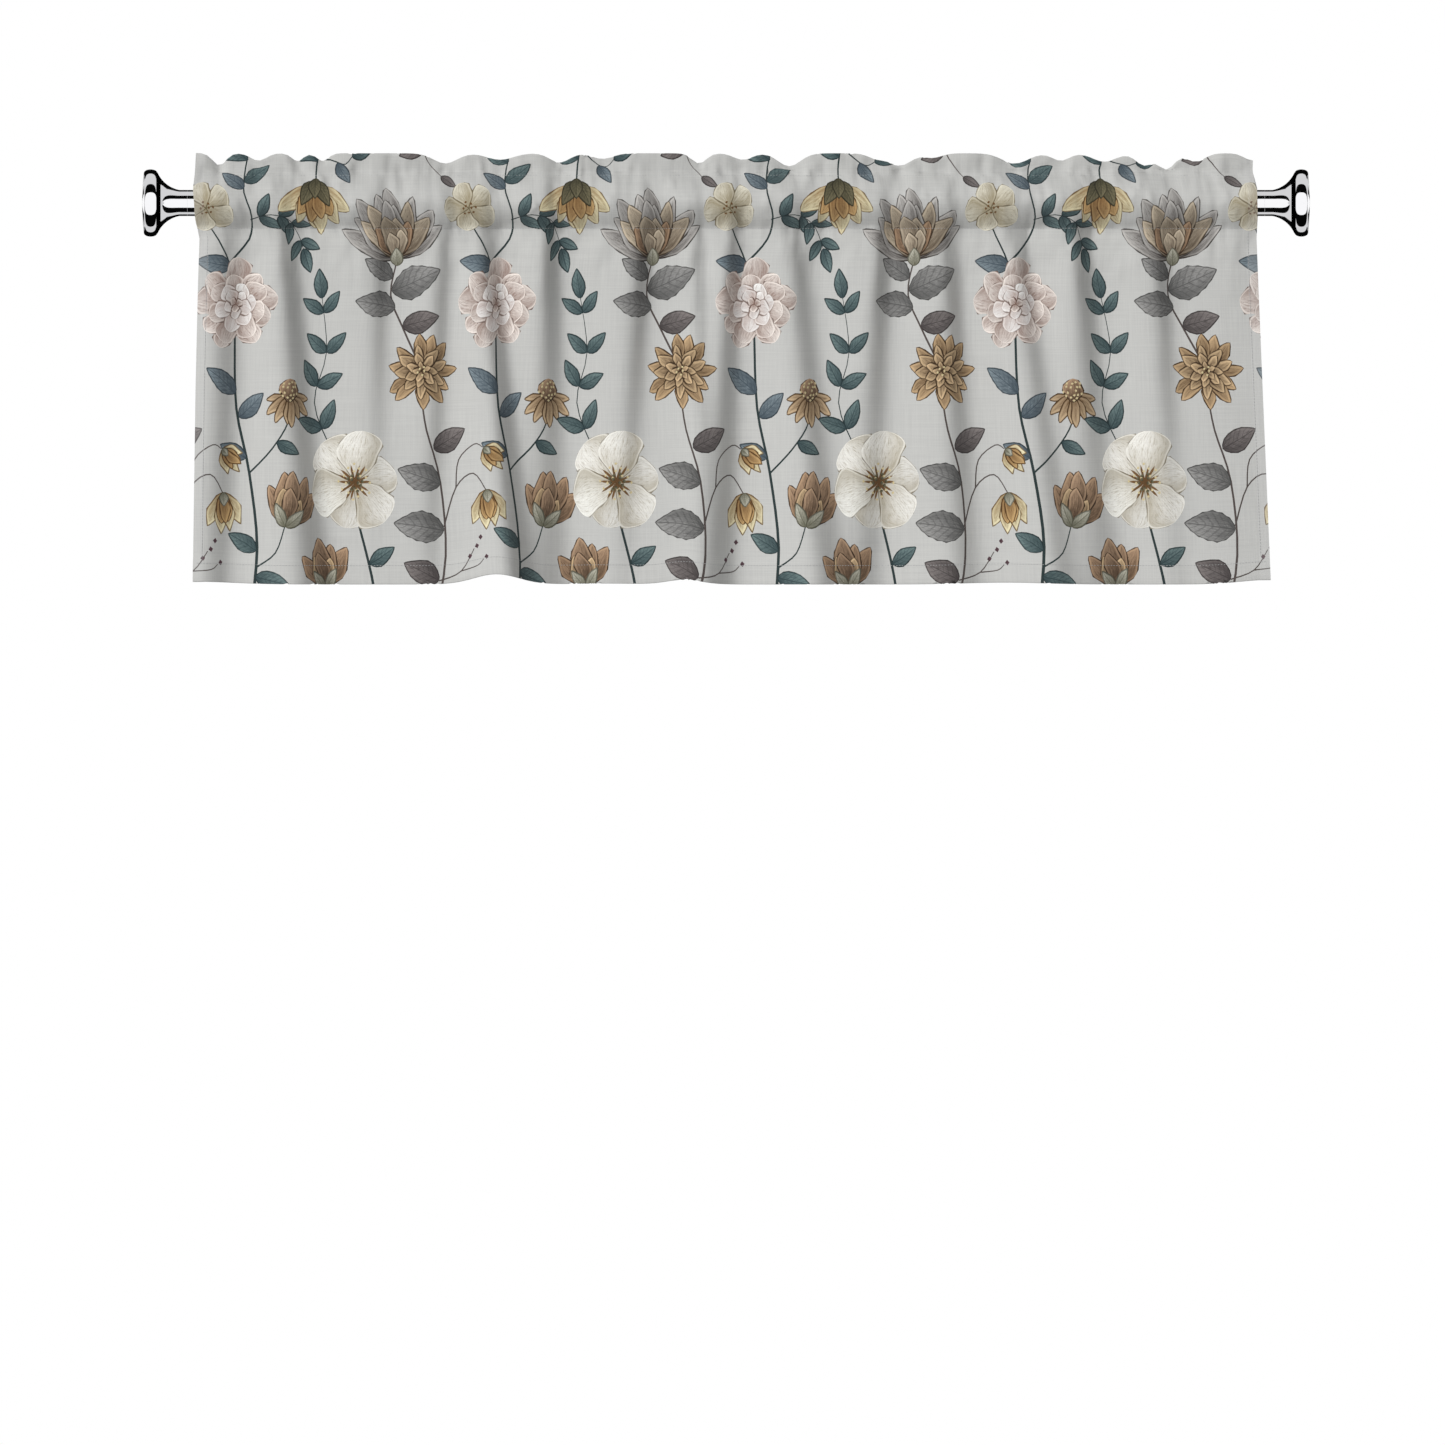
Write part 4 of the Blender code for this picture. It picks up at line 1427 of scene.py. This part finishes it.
def chrome_material(name="polished_chrome", level=CHROME_LEVEL):
    """Polished chrome with faint wiping marks."""
    material, bench, inputs = new_material(name, Metallic=1.0)
    marks = bench.noise(bench.stretched(bench.object_place(), MARKS), 1.0, 3.0, 0.6)
    dark, light = [tuple(level * part for part in tint) for tint in (MARK_DARK, MARK_LIGHT)]
    bench.give(inputs["Base Color"], bench.blend(dark, light, marks))
    roughness = bench.add("ShaderNodeMapRange")
    for socket, value in zip(roughness.inputs, (marks, 0.0, 1.0, *CHROME_ROUGHNESS)):
        bench.give(socket, value)
    bench.give(inputs["Roughness"], roughness.outputs[0])
    return material


# Stitching: the length of a stitch, its half breadth, and how high it lies on the cloth
STITCH_PITCH = 0.0034
STITCH_HALF_BREADTH = 0.00026
STITCH_MIDDLE = 0.00010
STITCH_BULGE = 0.00022
STITCH_RINGS = ((0.0, 0.0), (0.18, 1.0), (0.55, 1.0), (0.74, 0.0))
STITCH_LOOP = ((1.0, 0.0), (0.0, 1.0), (-1.0, 0.0), (0.0, -1.0))
ROW_INSET = 0.004
HEM_ROW_INSET = 0.003
SIDE_ROW_INSET = 0.002
SIDE_ROW_GAPS = (0.006, 0.004)


def stitch_row(start, end, vertices, faces):
    """Adds a row of stitches on the cloth's printed face, from start to end laid flat."""
    start, end = np.array(start), np.array(end)
    distance = float(np.linalg.norm(end - start))
    way = (end - start) / distance
    across_way = np.array((-way[1], way[0]))
    starts = np.linspace(0.0, distance - STITCH_PITCH, int(distance / STITCH_PITCH))
    rings = []
    for share, breadth in STITCH_RINGS:
        middle = start + way * (starts + share * STITCH_PITCH)[:, None]
        for sideways, upwards in STITCH_LOOP:
            u, v = (middle + across_way * (STITCH_HALF_BREADTH * breadth * sideways)).T
            height = STITCH_MIDDLE + STITCH_BULGE * breadth * upwards
            places, normals = hang_with_normals(u, v)
            raise_by = 0.5 * CLOTH_THICKNESS + height + hem_raise(u)
            rings.append(places + normals * raise_by[:, None])
    for stitch in np.stack(rings, axis=1):
        foot = len(vertices)
        vertices.append(tuple(stitch[0:4].mean(axis=0)))
        vertices.extend(tuple(place) for place in stitch[4:12])
        vertices.append(tuple(stitch[12:16].mean(axis=0)))
        for a in range(foot + 1, foot + 5):
            b = a + 1 if a < foot + 4 else foot + 1
            faces.append((foot, b, a))
            faces.append((a, b, b + 4, a + 4))
            faces.append((a + 4, b + 4, foot + 9))


def edit_mesh(piece):
    """Opens one object's mesh for editing, all of it selected."""
    bpy.ops.object.select_all(action="DESELECT")
    piece.select_set(True)
    bpy.context.view_layer.objects.active = piece
    bpy.ops.object.mode_set(mode="EDIT")
    bpy.ops.mesh.select_all(action="SELECT")


def close_mesh():
    """Turns the faces outwards and ends the editing."""
    bpy.ops.mesh.normals_make_consistent(inside=False)
    bpy.ops.object.mode_set(mode="OBJECT")


def make_stitching():
    """Rows of stitches at the heading, the pocket, the hem and the two side hems."""
    vertices, faces = [], []
    hem_row = length_to(HEM_FRONT) - HEM_ROW_INSET
    heights = (SEAM_ALONG, length_to(FRONT_POCKET_END - 1), length_to(BACK_POCKET_START),
               length_to(BACK_POCKET_END), hem_row)
    for height in heights:
        stitch_row((ROW_INSET, height), (FLAT_WIDTH - ROW_INSET, height), vertices, faces)
    from_edge = SIDE_HEM - SIDE_ROW_INSET
    for u in (from_edge, FLAT_WIDTH - from_edge):
        stitch_row((u, hem_row + SIDE_ROW_GAPS[0]), (u, SEAM_ALONG - SIDE_ROW_GAPS[1]),
                   vertices, faces)
    mesh = bpy.data.meshes.new("stitching")
    mesh.from_pydata(vertices, [], faces)
    mesh.materials.append(thread_material())
    stitching = bpy.data.objects.new("stitching", mesh)
    stitching.visible_glossy = False
    bpy.context.scene.collection.objects.link(stitching)
    edit_mesh(stitching)
    close_mesh()
    bpy.ops.object.shade_smooth()
    return stitching


# Turned metal
def arc_points(start, end, radius, steps):
    """Points between two ends along an arc that bows towards the axis."""
    start, end = Vector(start), Vector(end)
    chord = end - start
    outwards = Vector((-chord.y, chord.x)).normalized()
    centre = start + 0.5 * chord + outwards * math.sqrt(radius ** 2 - 0.25 * chord.length_squared)
    from_angle = math.atan2(start.y - centre.y, start.x - centre.x)
    to_angle = math.atan2(end.y - centre.y, end.x - centre.x)
    turn = (to_angle - from_angle + math.pi) % (2.0 * math.pi) - math.pi
    angles = [from_angle + turn * step / steps for step in range(steps + 1)]
    return [(centre.x + radius * math.cos(a), centre.y + radius * math.sin(a)) for a in angles]


def finial_profile():
    """From the tip of the domed face to the end of the stud, as (radius, distance inwards)."""
    dome = [(0.0, 0.0)]
    for share in np.linspace(1.0 / DOME_STEPS, 1.0, DOME_STEPS):
        dome.append((FACE_RADIUS * share, FACE_DOME * share ** 2))
    rim = []
    for angle in np.linspace(0.0, math.pi, RIM_STEPS)[1:-1]:
        width = 0.5 * (RIM_WIDTH - FACE_DOME)
        bulge = (DISC_RADIUS - FACE_RADIUS) * math.sin(angle) ** RIM_SQUARENESS
        rim.append((FACE_RADIUS + bulge, FACE_DOME + width * (1.0 - math.cos(angle))))
    neck_radius = 0.5 * ROD_DIAMETER
    throat = arc_points((THROAT_START_RADIUS, -RIM_WIDTH), (neck_radius, -THROAT_END),
                        THROAT_ARC_RADIUS, THROAT_STEPS)
    throat = [(radius, -height) for radius, height in throat]
    stud_radius = 0.5 * STUD_DIAMETER
    stud_end = FINIAL_LENGTH + STUD_LENGTH
    neck = [(neck_radius, FINIAL_LENGTH - EDGE_ROUND), (neck_radius - EDGE_ROUND, FINIAL_LENGTH)]
    stud = [(stud_radius, FINIAL_LENGTH), (stud_radius, stud_end), (0.0, stud_end)]
    return dome + rim + throat + neck + stud


def rod_profile():
    """A bar with a blind hole in each end for the stud of its finial."""
    half = 0.5 * OVERALL_LENGTH - FINIAL_LENGTH - JOINT_HAIRLINE
    hole_radius = 0.5 * STUD_DIAMETER + FINIAL_GAP
    hole_end = half - STUD_LENGTH - 4.0 * FINIAL_GAP
    radius = 0.5 * ROD_DIAMETER
    upper = [(0.0, hole_end), (hole_radius, hole_end), (hole_radius, half),
             (radius - EDGE_ROUND, half), (radius, half - EDGE_ROUND)]
    return upper + [(out, -along) for out, along in reversed(upper)]


def paint_throat_reflection(finial, half):
    """Paints a dark reflection on a ring of the throat's faces, with a near-black chrome."""
    reflection_paint = chrome_material("painted_reflection_chrome", PAINTED_REFLECTION_LEVEL)
    reflection_paint.node_tree.nodes["Principled BSDF"].inputs["Specular Tint"].default_value = (0, 0, 0, 1)
    finial.data.materials.append(reflection_paint)
    low, high = THROAT_PAINTED_REFLECTION
    for face in finial.data.polygons:
        from_tip = half - abs(face.center.x)
        if low < from_tip < high and face.center.yz.length > 0.5 * ROD_DIAMETER:
            face.material_index = 1


def spin_on_rod_axis(name, profile, start, way, material):
    """Spins a profile of (radius, distance) round the rod's axis, from start along way."""
    mesh = bpy.data.meshes.new(name)
    edges = [(i, i + 1) for i in range(len(profile) - 1)]
    mesh.from_pydata([(start + way * along, 0.0, radius) for radius, along in profile], edges, [])
    mesh.materials.append(material)
    turned = bpy.data.objects.new(name, mesh)
    bpy.context.scene.collection.objects.link(turned)
    edit_mesh(turned)
    bpy.ops.mesh.spin(steps=SPIN_STEPS, angle=2.0 * math.pi, center=(0.0, 0.0, 0.0),
                      axis=(1.0, 0.0, 0.0))
    bpy.ops.mesh.select_all(action="SELECT")
    bpy.ops.mesh.remove_doubles(threshold=MERGE_DISTANCE)
    close_mesh()
    bpy.ops.object.shade_smooth_by_angle(angle=math.radians(SMOOTH_ANGLE))
    return turned


# Studio
def make_camera():
    """Looks straight at the front, with the photo's frame."""
    camera_data = bpy.data.cameras.new("photo_camera")
    camera_data.type = "ORTHO"
    camera_data.ortho_scale = PICTURE_PIXELS * PIXEL
    camera_data.clip_end = CAMERA_REACH
    camera = bpy.data.objects.new("photo_camera", camera_data)
    middle = 0.5 * PICTURE_PIXELS
    camera.location = ((middle - ROD_MIDDLE_PIXEL[0]) * PIXEL, -CAMERA_DISTANCE,
                       (ROD_MIDDLE_PIXEL[1] - middle) * PIXEL)
    camera.rotation_euler = (math.radians(90), 0.0, 0.0)
    bpy.context.scene.collection.objects.link(camera)
    bpy.context.scene.camera = camera


# Soft suns: how strong and how wide they are and how they are turned, in degrees
Sun = namedtuple("Sun", "name energy angle turn")
SUNS = (
    Sun("key_light", 2.42, 25, (72, 0, -42)),
    Sun("back_fill", 1.1, 60, (62, 0, 150)),
)


def make_suns():
    """The key light and a fill from behind."""
    for row in SUNS:
        light = bpy.data.lights.new(row.name, "SUN")
        light.energy = row.energy
        light.angle = math.radians(row.angle)
        sun = bpy.data.objects.new(row.name, light)
        sun.rotation_euler = [math.radians(value) for value in row.turn]
        sun.visible_glossy = False
        bpy.context.scene.collection.objects.link(sun)


# What the polished metal mirrors: bands round the rod's axis, by the angle above the view
BRIGHT_BAND = 1.05
PALE_BAND = 0.72
DARK_BAND = 0.002
BANDS = (
    (-180, DARK_BAND), (-111, PALE_BAND), (-80, DARK_BAND), (-36, BRIGHT_BAND),
    (30, DARK_BAND), (58, PALE_BAND), (111, DARK_BAND),
)
# Mirrored directions low behind, a little to the side, are read on bands of their own. Those
# far to the side, and all that is mirrored twice, are pale.
BAND_MIDDLE = 0.2
LOW_BAND_MIDDLE = 1.0
LOW_BAND_GAIN = 1.75
LOW_BAND_HEIGHT = 0.25
LOW_BAND_SIDES = (0.06, 0.62)
FAR_BEHIND = 0.2
FAR_SIDE = 0.64
SECOND_MIRROR = 1.5
PALE_GREY = (0.72, 0.72, 0.727)
SOFT_LIGHT = (0.415, 0.415, 0.415)


def tone_of_bands(bench, angle):
    """The grey of the band that an angle falls on."""
    node = bench.add("ShaderNodeValToRGB")
    node.color_ramp.interpolation = "CONSTANT"
    stops = node.color_ramp.elements
    while len(stops) < len(BANDS):
        stops.new(0.5)
    for stop, (degrees, level) in zip(stops, BANDS):
        stop.position = (degrees + 180.0) / 360.0
        stop.color = (level, level, level * 1.01, 1.0)
    bench.give(node.inputs[0], bench.plus(bench.maths("DIVIDE", angle, 2.0 * math.pi), 0.5))
    return node.outputs[0]


def make_world():
    """White for the camera, soft light on the cloth, and bands in the mirrors of the chrome."""
    world = bpy.data.worlds.new("plain studio")
    world.use_nodes = True
    bench = NodeBench(world.node_tree)
    x, y, z = bench.parts(bench.add("ShaderNodeTexCoord").outputs["Generated"])
    sideways = bench.maths("ABSOLUTE", x)
    straight = bench.maths("ARCTAN2", z, bench.minus(BAND_MIDDLE, y))
    low = bench.times(bench.maths("ARCTAN2", z, bench.minus(LOW_BAND_MIDDLE, y)), LOW_BAND_GAIN)
    near_level = bench.maths("LESS_THAN", bench.maths("ABSOLUTE", z), LOW_BAND_HEIGHT)
    part_sideways = bench.times(bench.maths("GREATER_THAN", sideways, LOW_BAND_SIDES[0]),
                                bench.maths("LESS_THAN", sideways, LOW_BAND_SIDES[1]))
    low_behind = bench.times(bench.maths("GREATER_THAN", y, 0.0), near_level, part_sideways)
    angle = bench.plus(straight, bench.times(low_behind, bench.minus(low, straight)))
    path = bench.add("ShaderNodeLightPath")
    far_side = bench.times(bench.maths("GREATER_THAN", y, FAR_BEHIND),
                           bench.maths("GREATER_THAN", sideways, FAR_SIDE))
    again = bench.maths("GREATER_THAN", path.outputs["Glossy Depth"], SECOND_MIRROR)
    mirrored = bench.blend(tone_of_bands(bench, angle), PALE_GREY,
                           bench.maths("MAXIMUM", far_side, again))
    soft = bench.blend(SOFT_LIGHT, mirrored, path.outputs["Is Glossy Ray"])
    bench.give(world.node_tree.nodes["Background"].inputs["Color"],
               bench.blend(soft, (1.0, 1.0, 1.0), path.outputs["Is Camera Ray"]))
    bpy.context.scene.world = world


def make_floor():
    """A plain pale floor just below the picture."""
    lowest = -(PICTURE_PIXELS - ROD_MIDDLE_PIXEL[1]) * PIXEL - FLOOR_GAP
    bpy.ops.mesh.primitive_plane_add(size=FLOOR_SIZE, location=(0.0, 0.0, lowest))
    floor = bpy.context.object
    floor.name = "pale_floor"
    floor.visible_glossy = False
    floor.visible_diffuse = False
    material, bench, inputs = new_material("pale_floor", Roughness=0.9)
    tone = bench.noise(bench.object_place(), 1.5, 2.0)
    bench.give(inputs["Base Color"],
               bench.blend((0.74, 0.74, 0.745), (0.78, 0.78, 0.78), tone))
    floor.data.materials.append(material)


def main():
    """Builds the studio and the pieces, hides the solids they replace, and hangs each piece from
    the root body.
    """
    bpy.context.scene.view_settings.view_transform = "Standard"
    make_camera()
    make_world()
    make_suns()
    make_floor()

    chrome = chrome_material()
    half = 0.5 * OVERALL_LENGTH
    rod = spin_on_rod_axis("curtain_rod", rod_profile(), 0.0, 1.0, chrome)
    left = spin_on_rod_axis("left_finial", finial_profile(), -half, 1.0, chrome)
    right = spin_on_rod_axis("right_finial", finial_profile(), half, -1.0, chrome)
    # A painted dark reflection on the throat of each finial
    paint_throat_reflection(left, half)
    paint_throat_reflection(right, half)
    for piece, node in ((rod, "rod"), (left, "finial_left"), (right, "finial_right")):
        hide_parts(node)
        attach(piece, "root")

    cloth = make_cloth()
    stitching = make_stitching()
    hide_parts("valance")
    for piece in (cloth, stitching):
        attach(piece, "root")


main()
